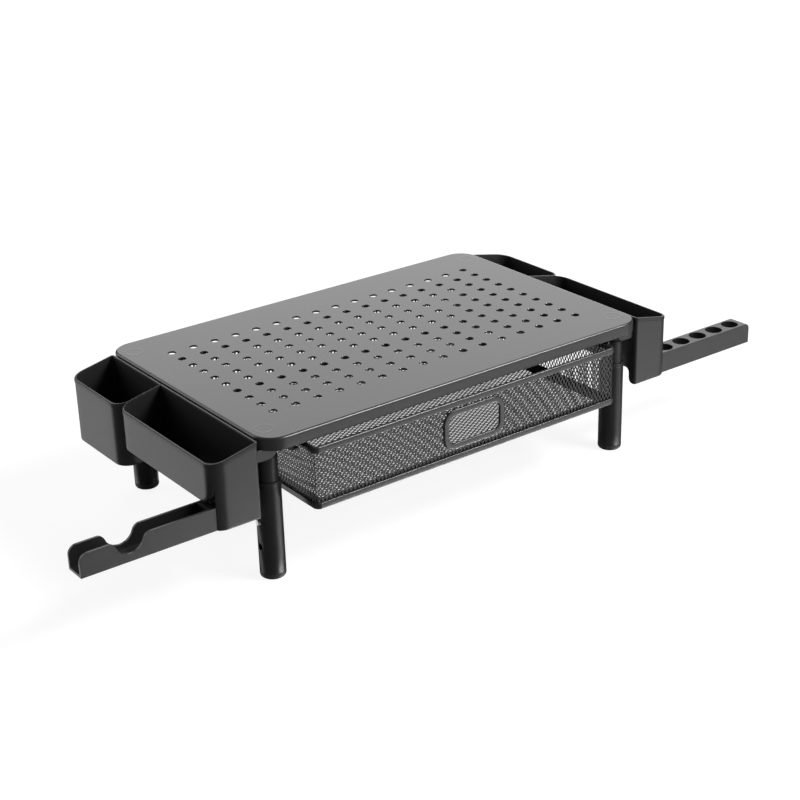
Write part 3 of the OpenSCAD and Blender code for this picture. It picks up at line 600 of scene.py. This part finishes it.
# %% [markdown]
# ## Expanded metal
#
# The drawer's sheets are slit and stretched, which opens rows of small diamonds. A texture with holes in it
# would look flat from the side. Real strands are few faces each, so they are modelled: a sheet is a stack of
# zigzag strands, each a tube of four sides, and each strand's peaks meet the next one's valleys. One formula
# with the strand's number and the step along it gives every point.

# %% Strand nets
NET_PITCH, NET_ROW = 6.3, 1.8
STRAND_W, STRAND_T, BOND, LAP = 0.80, 0.45, 1.0, 0.9
BORDER_HALF_T, BORDER_R, RUN_IN = 0.2, 0.2, 0.4


def strands(cols, rows, pitch, row):
    """Strands rows[0]..rows[1]-1 across the steps cols[0]..cols[1]. At step m, strand k lies at height
    row * k + swing * (-1)^(m + k), so that its peaks meet the next strand's valleys, where both run flat
    for the length of a bond and lap by a share of their width."""
    m, k = np.arange(cols[0], cols[1] + 1), np.arange(*rows)
    swing = (row - LAP * STRAND_W) / 2
    x = m * pitch / 2
    sign = 1 - 2 * ((m[None] + k[:, None]) % 2)
    x = (x[:, None] + np.array([-0.5, 0.5]) * BOND).ravel()
    sign = np.repeat(sign, 2, axis=1)
    y = row * k[:, None] + swing * sign
    line = np.stack([np.broadcast_to(x, y.shape), y, np.zeros_like(y)], -1)
    corner = np.array([(0, -1, -1), (0, 1, -1), (0, 1, 1), (0, -1, 1)]) * (0, STRAND_W / 2, STRAND_T / 2)
    return line[:, :, None] + corner


def strand_faces(shape, start):
    """Four sides along each strand and a cap at each end."""
    n_strands, n_steps = shape[:2]
    one = grid_quads(n_steps, 4, close_v=True)
    ends = np.array([[3, 2, 1, 0], np.arange(4) + (n_steps - 1) * 4])
    first = start + np.arange(n_strands)[:, None, None] * n_steps * 4
    return (np.concatenate([one, ends])[None] + first).reshape(-1, 4)


def net(name, width, height, to_place, hole=None, pitch=NET_PITCH, row=NET_ROW, margin=0.5):
    """A sheet of strands in a plain border, into which they run a little. hole is (x0, x1, y0, y1) and is
    left free of strands, so a sheet with a hole is four blocks: below, above, left and right of it."""
    steps, n = int((width - 2 * margin + RUN_IN) / pitch * 2), int((height - 2 * margin + RUN_IN) / row)
    x0, y0 = -steps * pitch / 4, -(n - 1) * row / 2
    blocks = [((0, steps), (0, n))]
    if hole:
        a, b = (int(round((h - x0) / (pitch / 2))) for h in hole[:2])
        c, d = (int(round((h - y0) / row)) for h in hole[2:])
        blocks = [((0, steps), (0, c)), ((0, steps), (d, n)), ((0, a), (c, d)), ((b, steps), (c, d))]
    points, quads, start = [], [], 0
    for cols, rows in blocks:
        grid = strands(cols, rows, pitch, row) + (x0, y0, 0)
        quads.append(strand_faces(grid.shape, start))
        points.append(grid.reshape(-1, 3))
        start += len(points[-1])
    low, high = -BORDER_HALF_T, BORDER_HALF_T
    rim = rounded([(0, low), (0, high), (margin, high), (margin, low)], 0.1, 1)
    path = round_rect(width, height, BORDER_R, rim[:, 0], steps=1)
    edge = np.concatenate([path, np.broadcast_to(rim[None, :, 1:], (*path.shape[:2], 1))], -1)
    quads.append(grid_quads(*edge.shape[:2], True, True, start))
    points.append(edge.reshape(-1, 3))
    return write_mesh(name, to_place(np.concatenate(points)), np.concatenate(quads))


print("a net's usual cells are", NET_PITCH, "by", 2 * NET_ROW, "mm")

# %% The drawer's sheets
MESH_Z, MESH_H = (MESH_LOW + MESH_HIGH) / 2, 47.6
WALL_X, WALL_BACK = DRAWER_W / 2 - RIM_T, DRAWER_Y + DRAWER_D / 2 - RIM_T
HALF_T = 0.45


def upright(y):
    """A sheet in the front or back: its x runs upwards, so that the strands stand upright."""
    return lambda p: np.c_[p[:, 1], np.full(len(p), y) + p[:, 2], MESH_Z + p[:, 0]]


def sideways(x):
    """A sheet in a side wall, with the strands upright as well."""
    return lambda p: np.c_[np.full(len(p), x) + p[:, 2], DRAWER_Y + p[:, 1], MESH_Z + p[:, 0]]


def flat_at(z):
    """A sheet that lies flat, as the drawer's floor."""
    return lambda p: np.c_[p[:, 0], DRAWER_Y + p[:, 1], z + p[:, 2]]


CORNER_GAP = 1.9
FRONT_SPAN, SIDE_SPAN = 2 * WALL_X - CORNER_GAP, 215.2
HOLE_HALF_H, HOLE_HALF_W = 12.5, 26.0
grip_hole = (GRIP_Z - MESH_Z - HOLE_HALF_H, GRIP_Z - MESH_Z + HOLE_HALF_H, -HOLE_HALF_W, HOLE_HALF_W)
NETS = {
    "mesh_front": (FRONT_SPAN, upright(FRONT_Y + RIM_T + HALF_T), grip_hole),
    "mesh_back": (FRONT_SPAN, upright(WALL_BACK - HALF_T), None),
    "mesh_left": (SIDE_SPAN, sideways(-WALL_X + HALF_T), None),
    "mesh_right": (SIDE_SPAN, sideways(WALL_X - HALF_T), None)}
for name, (span, to_place, hole) in NETS.items():
    place(net("net" + name[4:], MESH_H, span, to_place, hole), "drawer", "drawer_steel", MESH_PAINT, name)

FLOOR_W, FLOOR_D, FLOOR_Z = 292.6, 214.6, 58.7
floor_net = net("net_floor", FLOOR_W, FLOOR_D, flat_at(FLOOR_Z), pitch=6.0, row=1.75, margin=9.3)
place(floor_net, "drawer", "drawer_steel", MESH_PAINT, "mesh_floor")

# %% [markdown]
# ## The side bins
#
# Each bin is one moulding: a tall rear pocket, a shorter front pocket with the arm's room under it, and an
# apron that hides the arm's hub. A pocket is a closed skin. Its plan is a grid of straight lines squeezed
# between a front and a back border, so every border point is also a point of the floor's grid. The outer
# wall rises from the underside to the rim, turns over and falls inside to the floor. The underside and the
# floor are heights over the plan, which makes steps and the rounded lower edge one formula each.

# %% Pocket plans
# u counts outwards from the bin's inner side at BIN_X, and y runs along the plate. Up to STEP_U the front
# pocket is deep, and beyond it the floor is raised over the arm. The web braces the apron beside the leg.
BIN_X, BIN_W, BIN_CORNER, BACK_CORNER = 186.0, 40.0, 12.0, 2.5
BIN_FRONT, BIN_SPLIT, BIN_BACK = -106.25, 31.25, 110.25
BIN_TOP, RIM_SLOPE = 118.4, math.tan(math.radians(12))
BIN_LOW, ROOF_Z, DEEP_Z = 57.7, 77.5, 70.5
STEP_U, APRON, LOWER_ROUND = 21.0, 3.7, 15.0
WEB_U, WEB_L, WEB_FILLET = 2.6, 4.0, 4.5
LIP, LIP_H, BIN_WALL, DIVIDER_CUT = 0.35, 2.6, 1.8, 0.8
NEAR_SPLIT, SIDE_OF = 5.0, 0.0004
PLAIN_U = (8.0, 25.0)


def both_sides(value):
    """Two lines that stand on both sides of a step; rounding to a thousandth brings them together."""
    return [value - SIDE_OF, value + SIDE_OF]


def plan_grid(y0, y1, inset, step, lines):
    """Plan of a pocket as arrays u, y. Lines of constant u are bent along the rounded corners, and each
    line's points are the wanted distances from the front, held between the front and back borders. The
    corner beside the plate is round at the bin's ends, but square where the two pockets meet."""
    small, large = BACK_CORNER, BIN_CORNER
    apron_turn = np.arccos((large - APRON) / (large - inset))
    tiny = SIDE_OF / ((large - inset) * np.sin(apron_turn))
    phi = np.linspace(0, np.pi / 2, 5)
    theta = np.r_[np.linspace(0, apron_turn - tiny, 7), np.linspace(apron_turn + tiny, np.pi / 2, 7)]
    straight = np.r_[both_sides(WEB_U), PLAIN_U[0], both_sides(step), PLAIN_U[1]]
    u = np.r_[small - (small - inset) * np.cos(phi), straight,
              BIN_W - large + (large - inset) * np.sin(theta)]
    edge = np.r_[small - (small - inset) * np.sin(phi), np.full(len(straight), inset),
                 large - (large - inset) * np.cos(theta)]
    square = np.where(u < small, inset, edge)
    front = y0 + np.where(y0 < BIN_SPLIT - NEAR_SPLIT, edge, square)
    back = y1 - np.where(y1 > BIN_SPLIT + NEAR_SPLIT, edge, square)
    y = np.clip(y0 + np.asarray(lines)[None, :], front[:, None], back[:, None])
    return np.broadcast_to(u[:, None], y.shape), y


def border(a):
    """The grid's outermost points, once round."""
    return np.concatenate([a[:, 0], a[-1, :], a[::-1, -1], a[0, ::-1]])


print("the wall between two pockets is", 2 * (BIN_WALL - DIVIDER_CUT), "mm thick")

# %% Undersides and floors
def arc_drop(along, radius):
    """How far a circle has left its tangent at a distance along it: the radius minus the root of the radius
    squared minus the distance squared. The distance is held between 0 and the radius."""
    d = np.clip(along, 0, radius)
    return radius - np.sqrt(radius ** 2 - d ** 2)


def front_underside(u, y):
    """Apron, web and the two undersides: beside the leg flat, over the arm with a round front edge. The web's
    foot, its fillet and that edge are arcs."""
    s = y - BIN_FRONT
    w = s - APRON
    web = np.where(w < WEB_L, BIN_LOW + arc_drop(w, WEB_L),
                   DEEP_Z - arc_drop(WEB_L + WEB_FILLET - w, WEB_FILLET))
    over_arm = ROOF_Z + arc_drop(LOWER_ROUND - w, LOWER_ROUND)
    behind = np.where(u < WEB_U, web, np.where(u < STEP_U, DEEP_Z, over_arm))
    return np.where(s < APRON, BIN_LOW, behind)


def front_floor(u, y):
    """The floor follows the underside, one wall higher, so its arc's radius is one wall smaller."""
    w = y - BIN_FRONT - APRON
    over_arm = BIN_WALL + ROOF_Z + arc_drop(LOWER_ROUND - w, LOWER_ROUND - BIN_WALL)
    return np.where(u < STEP_U - BIN_WALL, DEEP_Z + BIN_WALL, over_arm)


def rim_height(u, y):
    """The rim falls outwards at one slope."""
    return BIN_TOP - u * RIM_SLOPE


def even(z):
    """One height for the whole plan."""
    return lambda u, y: np.full(u.shape, z)


# A row of the skin says what its height counts from, how far inside the outline it lies, and its rise.
INNER_EDGE = BIN_WALL - 0.4
SKIN_ROWS = [
    ("low", LIP + 0.8, 0.0), ("low", LIP + 0.25, 0.25), ("low", LIP, 0.8), ("low", LIP, 1.6),
    ("rim", LIP, -LIP_H - 1.0), ("rim", LIP, -LIP_H - 0.3), ("rim", LIP + 0.1, -LIP_H - 0.1),
    ("rim", LIP + 0.1, -LIP_H), ("rim", 0.0, -LIP_H + 0.15), ("rim", 0.0, -0.5), ("rim", 0.15, -0.15),
    ("rim", 0.5, 0.0), ("rim", INNER_EDGE, 0.0), ("rim", BIN_WALL - 0.1, -0.1), ("rim", BIN_WALL, -0.4),
    ("floor", BIN_WALL, 0.0)]


def pocket(y0, y1, underside, floor, lines, front_cut, back_cut):
    """The skin of a pocket from y0 to y1, row by row, with a cap at each end. Each row's height is that of the
    underside, the rim or the floor, plus its rise. Inside, the cuts thin the wall that two pockets share."""
    heights = {"low": underside, "rim": rim_height, "floor": floor}
    walls, caps = [], []
    for kind, inset, rise in SKIN_ROWS:
        inside = inset >= INNER_EDGE
        u, y = plan_grid(y0 - inside * front_cut, y1 + inside * back_cut, inset,
                         STEP_U - inside * BIN_WALL, lines)
        y, z = np.round(y, 3), heights[kind](u, y) + rise
        if kind != "rim" and rise == 0:
            caps.append((np.stack([u, y, z], -1), False, False))
        walls.append(np.stack([border(u), border(y), border(z)], -1))
    return [(np.stack(walls, 1), True, False), *caps]


print("a pocket's skin has", len(SKIN_ROWS), "rows")

# %% Clips and the screw's boss
CLIP_Z, CLIP_W, CLIP_NOSE, CLIP_END, CLIP_ROOT = (100.1, 109.6), 20.0, 7.0, -17.5, 1.0
LEG_U, NECK_R = LEG_X - BIN_X, 7.8
NEVER_ZERO = 1e-6
BOSS_PROFILE = [(0, 76.3), (5, 76.3), (5, 85.4), (4.8, 85.8), (4.4, 86.0), (0, 86.0)]
PIVOT_U, PIVOT_Y = 31.0, -93.25


def clip(y_axis):
    """A C round the post's neck. A ray from the post's axis meets the inner circle at the neck's radius and
    the outer square at the lesser of its half sides over the ray's cosine and sine. The C is open where the
    circle reaches the clip's end, and its underside is rounded towards that end."""
    half = CLIP_W / 2
    open_turn = np.arccos((CLIP_END - LEG_U) / NECK_R)
    a = np.linspace(open_turn, -open_turn, 41)
    inner = np.c_[LEG_U + NECK_R * np.cos(a), NECK_R * np.sin(a)]
    far = np.minimum((CLIP_ROOT - LEG_U) / np.maximum(np.cos(a), NEVER_ZERO),
                     half / np.maximum(np.abs(np.sin(a)), NEVER_ZERO))
    outer = np.c_[np.maximum(LEG_U + far * np.cos(a), CLIP_END), far * np.sin(a)]

    def layer(p, z):
        """The points p at heights z, beside their own leg."""
        return np.c_[p[:, 0], p[:, 1] + y_axis, z]

    top = np.full(len(a), CLIP_Z[1])
    low_out, low_in = (CLIP_Z[0] + arc_drop(CLIP_END + CLIP_NOSE - p[:, 0], CLIP_NOSE) for p in (outer, inner))
    ring = np.stack([layer(outer, low_out), layer(outer, top), layer(inner, top), layer(inner, low_in)], 1)
    ends = [(ring[k][[0, 1, 3, 2]].reshape(2, 2, 3), False, False) for k in (0, -1)]
    return [(ring, False, True), *ends]


print("a clip's mouth is", round(2 * math.sqrt(NECK_R ** 2 - (CLIP_END - LEG_U) ** 2), 1), "mm wide")

# %% Both bins
# Distances of the plan's lines from the pocket's front: close together where the underside bends.
ARC_LINES = LOWER_ROUND * (1 - np.cos(np.linspace(0, np.pi / 2, 11)))[1:]
FRONT_LINES = np.sort(np.r_[0, 2.0, both_sides(APRON), APRON + BIN_WALL, APRON + ARC_LINES,
                            APRON + np.array([1.0, 2.0, 3.0, 3.6]), both_sides(APRON + WEB_L),
                            APRON + WEB_L + WEB_FILLET * np.array([0.1, 0.4, 0.7]), 40, 80, 120, 200])
REAR_LINES = np.array([0, 20, 40, 60, 100])


def side_bin(name, side):
    """Both pockets, both clips and a turned boss over the arm's pivot, in the bin's own plan, which is then
    turned to its side."""
    grids = pocket(BIN_FRONT, BIN_SPLIT, front_underside, front_floor, FRONT_LINES, 0, DIVIDER_CUT)
    grids += pocket(BIN_SPLIT, BIN_BACK, even(BIN_LOW), even(BIN_LOW + BIN_WALL), REAR_LINES, DIVIDER_CUT, 0)
    for sy in (-1, 1):
        grids += clip(sy * LEG_Y + PLATE_Y)
    grids.append((turned(BOSS_PROFILE, PIVOT_U, PIVOT_Y, 32), True, False))
    grids = [(np.stack([side * (BIN_X + g[..., 0]), g[..., 1], g[..., 2]], -1), a, b) for g, a, b in grids]
    return surfaces(name, grids, smooth_deg=32)


place(side_bin("bin_left_moulding", -1), "stand", "bin_plastic", BIN_PLASTIC, "bin_left")
place(side_bin("bin_right_moulding", 1), "stand", "bin_plastic", BIN_PLASTIC, "bin_right")

# %% [markdown]
# ## The swing-out arms
#
# The left arm is an open channel with a notch for a cable or a headset, the right one a bar with five holes
# for pens. Both start as a plan with a height over each point, as the bins do. The round holes are then
# carved out with turned cutters, which is the plainest way to meet a flat face with a bore, and a small
# bevel takes the sharpness off every edge.

# %% Arm helpers
ARM_W, ARM_H, ARM_LEN, ARM_Z = 18.0, 18.0, 113.0, 58.2
CHANNEL_X, CHANNEL_WALL = 11.0, 2.0
NOTCH_X, NOTCH_W, NOTCH_DEPTH, NOTCH_LIP = 74.0, 34.0, 12.0, 6.5
TIP_LEFT, TIP_RIGHT = 7.0, 5.0
PEN_R, PEN_XS = 7.5, (97.5, 77.2, 56.9, 36.6, 16.3)
HEAD_R, HEAD_DEPTH, SHANK_R = 5.0, 2.5, 2.58
HALF_W, PAST_FACE, ARM_BEVEL = ARM_W / 2, 1.0, 0.35


def tip_height(a, radius):
    """The arm's upper outer corner, as a height along the arm: its full height minus an arc's drop."""
    return ARM_H - arc_drop(a - (ARM_LEN - radius), radius)


def notch_height(a):
    """A round notch of two arcs to each side: a bowl below and the lip's rounding above. They meet where both
    lean by one angle, and with it the two radii together span half the notch's width and its depth."""
    half = NOTCH_W / 2
    lean = 2 * np.arctan2(NOTCH_DEPTH, half)
    bowl = half / np.sin(lean) - NOTCH_LIP
    d = np.abs(a - NOTCH_X)
    low, high = ARM_H - NOTCH_DEPTH + arc_drop(d, bowl), ARM_H - arc_drop(half - d, NOTCH_LIP)
    return np.where(d < bowl * np.sin(lean), low, high)


def left_top(a, b):
    """The walls' tops follow the notch and the tip, and between the walls lies the channel's floor."""
    wall = np.minimum(notch_height(a), tip_height(a, TIP_LEFT))
    channel = (np.abs(b) < HALF_W - CHANNEL_WALL) & (a > CHANNEL_X)
    return np.where(channel, CHANNEL_WALL, wall)


def right_top(a, b):
    """The bar is level up to its tip."""
    return tip_height(a, TIP_RIGHT)


print("over the notch's middle the arm is", float(notch_height(NOTCH_X)), "mm high")


# %% Arm blanks and cutters
def arm_blank(name, side, top, along, across):
    """A block over the arm's plan: underside, walls and top(a, b). Its hub end is round, because there a is
    never less than minus the root of the half width squared minus b squared."""
    b = np.asarray(across, float)
    hub = -np.sqrt(np.maximum(HALF_W ** 2 - b ** 2, 0))
    a = np.clip(np.broadcast_to(np.asarray(along, float)[:, None], (len(along), len(b))), hub[None, :], ARM_LEN)
    b = np.broadcast_to(b[None], a.shape)
    z = top(a, b)
    a, b = np.round(a, 3), np.round(b, 3)
    upper = np.stack([a, b, z], -1)
    under = np.stack([a, b, np.zeros_like(a)], -1)
    wall = np.stack([np.stack([border(g[..., k]) for k in range(3)], -1) for g in (under, upper)], 1)
    grids = [(upper, False, False), (under, False, False), (wall, True, False)]
    at = np.array([side * (BIN_X + PIVOT_U), PIVOT_Y, ARM_Z])
    return surfaces(name, [(g * (side, 1, 1) + at, u, v) for g, u, v in grids], smooth_deg=32)


def carve(obj, cutters):
    """Subtracts the cutters, bevels the edges and keeps the result as the piece's own mesh."""
    for cutter in cutters:
        cut = obj.modifiers.new("cut", "BOOLEAN")
        cut.operation, cut.solver, cut.object = "DIFFERENCE", "EXACT", cutter
    bevel(obj, ARM_BEVEL, 40)
    bpy.context.view_layer.update()
    result = bpy.data.meshes.new_from_object(obj.evaluated_get(bpy.context.evaluated_depsgraph_get()))
    obj.modifiers.clear()
    obj.data = result
    for cutter in cutters:
        bpy.data.objects.remove(cutter)
    shade_smooth(result, 20)
    return obj


def bore(x, radius, rise=ARM_H + PAST_FACE, steps=48):
    """A turned cutter on the arm's middle line, from just under the arm up to a rise over its underside."""
    low, high = ARM_Z - PAST_FACE, ARM_Z + rise
    return lathe("cutter", [(0, low), (radius, low), (radius, high), (0, high)], x, PIVOT_Y, steps)


def pivot_cutters(side):
    """The room for the screw's head and the hole for its shank."""
    x = side * (BIN_X + PIVOT_U)
    return [bore(x, HEAD_R, HEAD_DEPTH), bore(x, SHANK_R, steps=32)]


print("the screw's head has", HEAD_DEPTH, "mm of room")

# %% Arms
round_tip = np.sin(np.linspace(0, np.pi / 2, 9))
hub = np.linspace(-HALF_W, 0, 4)
notch = NOTCH_X + np.linspace(-NOTCH_W / 2, NOTCH_W / 2, 61)
after_notch = np.linspace(NOTCH_X + NOTCH_W / 2 + 0.6, ARM_LEN - TIP_LEFT - 0.6, 4)
left_along = np.unique(np.r_[hub, 5, both_sides(CHANNEL_X), notch, after_notch,
                        ARM_LEN - TIP_LEFT + TIP_LEFT * round_tip])
wall_top = np.linspace(HALF_W - 1.2, HALF_W, 4)
half_across = np.r_[both_sides(HALF_W - CHANNEL_WALL), wall_top]
left_across = np.r_[-half_across[::-1], np.linspace(-6, 6, 9), half_across]
right_along = np.r_[-HALF_W, 0, ARM_LEN - TIP_RIGHT + TIP_RIGHT * round_tip]
right_across = HALF_W * np.sin(np.linspace(-np.pi / 2, np.pi / 2, 25))

left_arm = carve(arm_blank("arm_left_channel", -1, left_top, left_along, left_across), pivot_cutters(-1))
place(left_arm, "arm_left", "bin_plastic", BIN_PLASTIC, "arm_left")

pen_holes = [bore(BIN_X + PIVOT_U + a, PEN_R) for a in PEN_XS]
right_arm = carve(arm_blank("arm_right_bar", 1, right_top, right_along, right_across),
                  pivot_cutters(1) + pen_holes)
place(right_arm, "arm_right", "bin_plastic", BIN_PLASTIC, "arm_right")

# %% [markdown]
# ## Small parts that keep their shape
#
# Nuts, studs, runners, buffers, glides, screws, springs and buttons already have their true shape in the
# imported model. They only need the right finish.

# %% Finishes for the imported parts
FINISHES = {
    "weld_nuts": PLATE_PAINT, "leg_studs": ZINC, "runner": RUNNER_PAINT, "drawer_bumpers": RUBBER,
    "glide": RUNNER_PAINT, "arm_screw": ZINC, "snap": ZINC}
for start, material in FINISHES.items():
    nodes = [node for name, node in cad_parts.items() if name.startswith(start)]
    for node in nodes:
        node.data.materials.clear()
        node.data.materials.append(material)
    print(start, len(nodes), "in", material.name)

# %% [markdown]
# ## Floor, world and lamps
#
# Black plastic has hardly any colour of its own. What the photograph shows of it are reflections: the plate
# mirrors a panel behind the stand, and the faces to the left and right mirror a panel each, low over a smooth
# table. A narrow bright panel, higher up, draws the pale line along each rolled edge. The rounded corners
# that face the camera mirror nothing and stay dark. So there are four lamps, a dim world, and a floor that is
# white to the camera and satin to the reflections.

# %% Stage
STAGE_HALF, STAGE_Z = 6000.0, -0.05
GLOW = 1.08
NEAR_M, FAR_M, NEAR_SHARE = 0.5, 2.0, 0.82


def mixed(tree, weight, first, second):
    """The second shader over the first one by a weight."""
    mix = tree.nodes.new("ShaderNodeMixShader")
    tree.links.new(weight, mix.inputs["Fac"])
    tree.links.new(first, mix.inputs[1])
    tree.links.new(second, mix.inputs[2])
    return mix.outputs[0]


# A wide flat square of a few faces under the feet. The camera sees mostly an even glow over a matt table that
# takes the shadows. The glow's share grows from near the stand to far away, where it is all.
u = np.linspace(-STAGE_HALF, STAGE_HALF, 5)
x, y = np.meshgrid(u, u, indexing="ij")
floor = surfaces("floor", [(np.stack([x, y, np.full_like(x, STAGE_Z)], -1), False, False)])
material = bpy.data.materials.new("floor_white")
material.use_nodes = True
tree = material.node_tree
shader = tree.nodes["Principled BSDF"]
shader.inputs["Base Color"].default_value = (0.9, 0.9, 0.9, 1)
shader.inputs["Roughness"].default_value = 0.9
satin = tree.nodes.new("ShaderNodeBsdfGlossy")
satin.inputs["Color"].default_value = (0.7, 0.7, 0.7, 1)
satin.inputs["Roughness"].default_value = 0.3
glow = tree.nodes.new("ShaderNodeEmission")
glow.inputs["Strength"].default_value = GLOW
path = tree.nodes.new("ShaderNodeLightPath")
where = tree.nodes.new("ShaderNodeTexCoord")
away = vectors(tree, "LENGTH", where.outputs["Object"])
plain = mapped(tree, away, (NEAR_M, FAR_M), (NEAR_SHARE, 1))
share = maths(tree, "MULTIPLY", path.outputs["Is Camera Ray"], plain)
table = mixed(tree, path.outputs["Is Glossy Ray"], shader.outputs[0], satin.outputs[0])
tree.links.new(mixed(tree, share, table, glow.outputs[0]), tree.nodes["Material Output"].inputs["Surface"])
floor.data.materials.append(material)
floor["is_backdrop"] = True
print("floor", 2 * STAGE_HALF * MM, "m wide")

# %% World
# White to the camera, but dim as a light and in reflections.
WORLD_LIGHT = 0.10
world = bpy.data.worlds.new("white_world")
bpy.context.scene.world = world
world.use_nodes = True
tree = world.node_tree
back, path = tree.nodes["Background"], tree.nodes.new("ShaderNodeLightPath")
back.inputs["Color"].default_value = (1, 1, 1, 1)
level = mapped(tree, path.outputs["Is Camera Ray"], (0, 1), (WORLD_LIGHT, 1))
tree.links.new(level, back.inputs["Strength"])
print("world light", WORLD_LIGHT)


# %% Lamps
def soft_panel(name, turn, rise, far, wide, tall, level):
    """A lamp of an even brightness, far metres away by a turn from x and a rise over the floor, both in
    degrees. Its power is what a panel of that size sends out at that brightness."""
    data = bpy.data.lights.new(name, "AREA")
    data.shape, data.size, data.size_y = "RECTANGLE", wide, tall
    data.energy = level * math.pi * wide * tall
    lamp = bpy.data.objects.new(name, data)
    bpy.context.scene.collection.objects.link(lamp)
    turn, rise = math.radians(turn), math.radians(rise)
    way = Vector((math.cos(turn) * math.cos(rise), math.sin(turn) * math.cos(rise), math.sin(rise)))
    lamp.location = far * way
    lamp.rotation_mode = "QUATERNION"
    lamp.rotation_quaternion = way.to_track_quat("Z", "Y")
    print(name, "gives", round(data.energy, 1), "W")


# turn and rise in degrees; far, wide and tall in metres; brightness
LAMPS = {
    "panel_left": (126, 26, 2.0, 1.5, 1.5, 1.95),
    "panel_right": (-54, 26, 2.0, 1.5, 1.5, 1.25),
    "panel_back": (54, 26, 2.2, 2.0, 2.0, 1.7),
    "strip_right": (-46, 46, 2.0, 1.1, 0.3, 47)}

for name, values in LAMPS.items():
    soft_panel(name, *values)
bpy.context.scene.view_settings.view_transform = "Standard"

# %% [markdown]
# ## The size
#
# The imported model's box and the dressed stand's box are printed side by side. The dressed stand has
# to fit in the imported one's box.

# %% Finish
low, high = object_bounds()
for label, box in (("packed", cad_high - cad_low), ("dressed", high - low)):
    print(label, "box", [round(v, 4) for v in box])
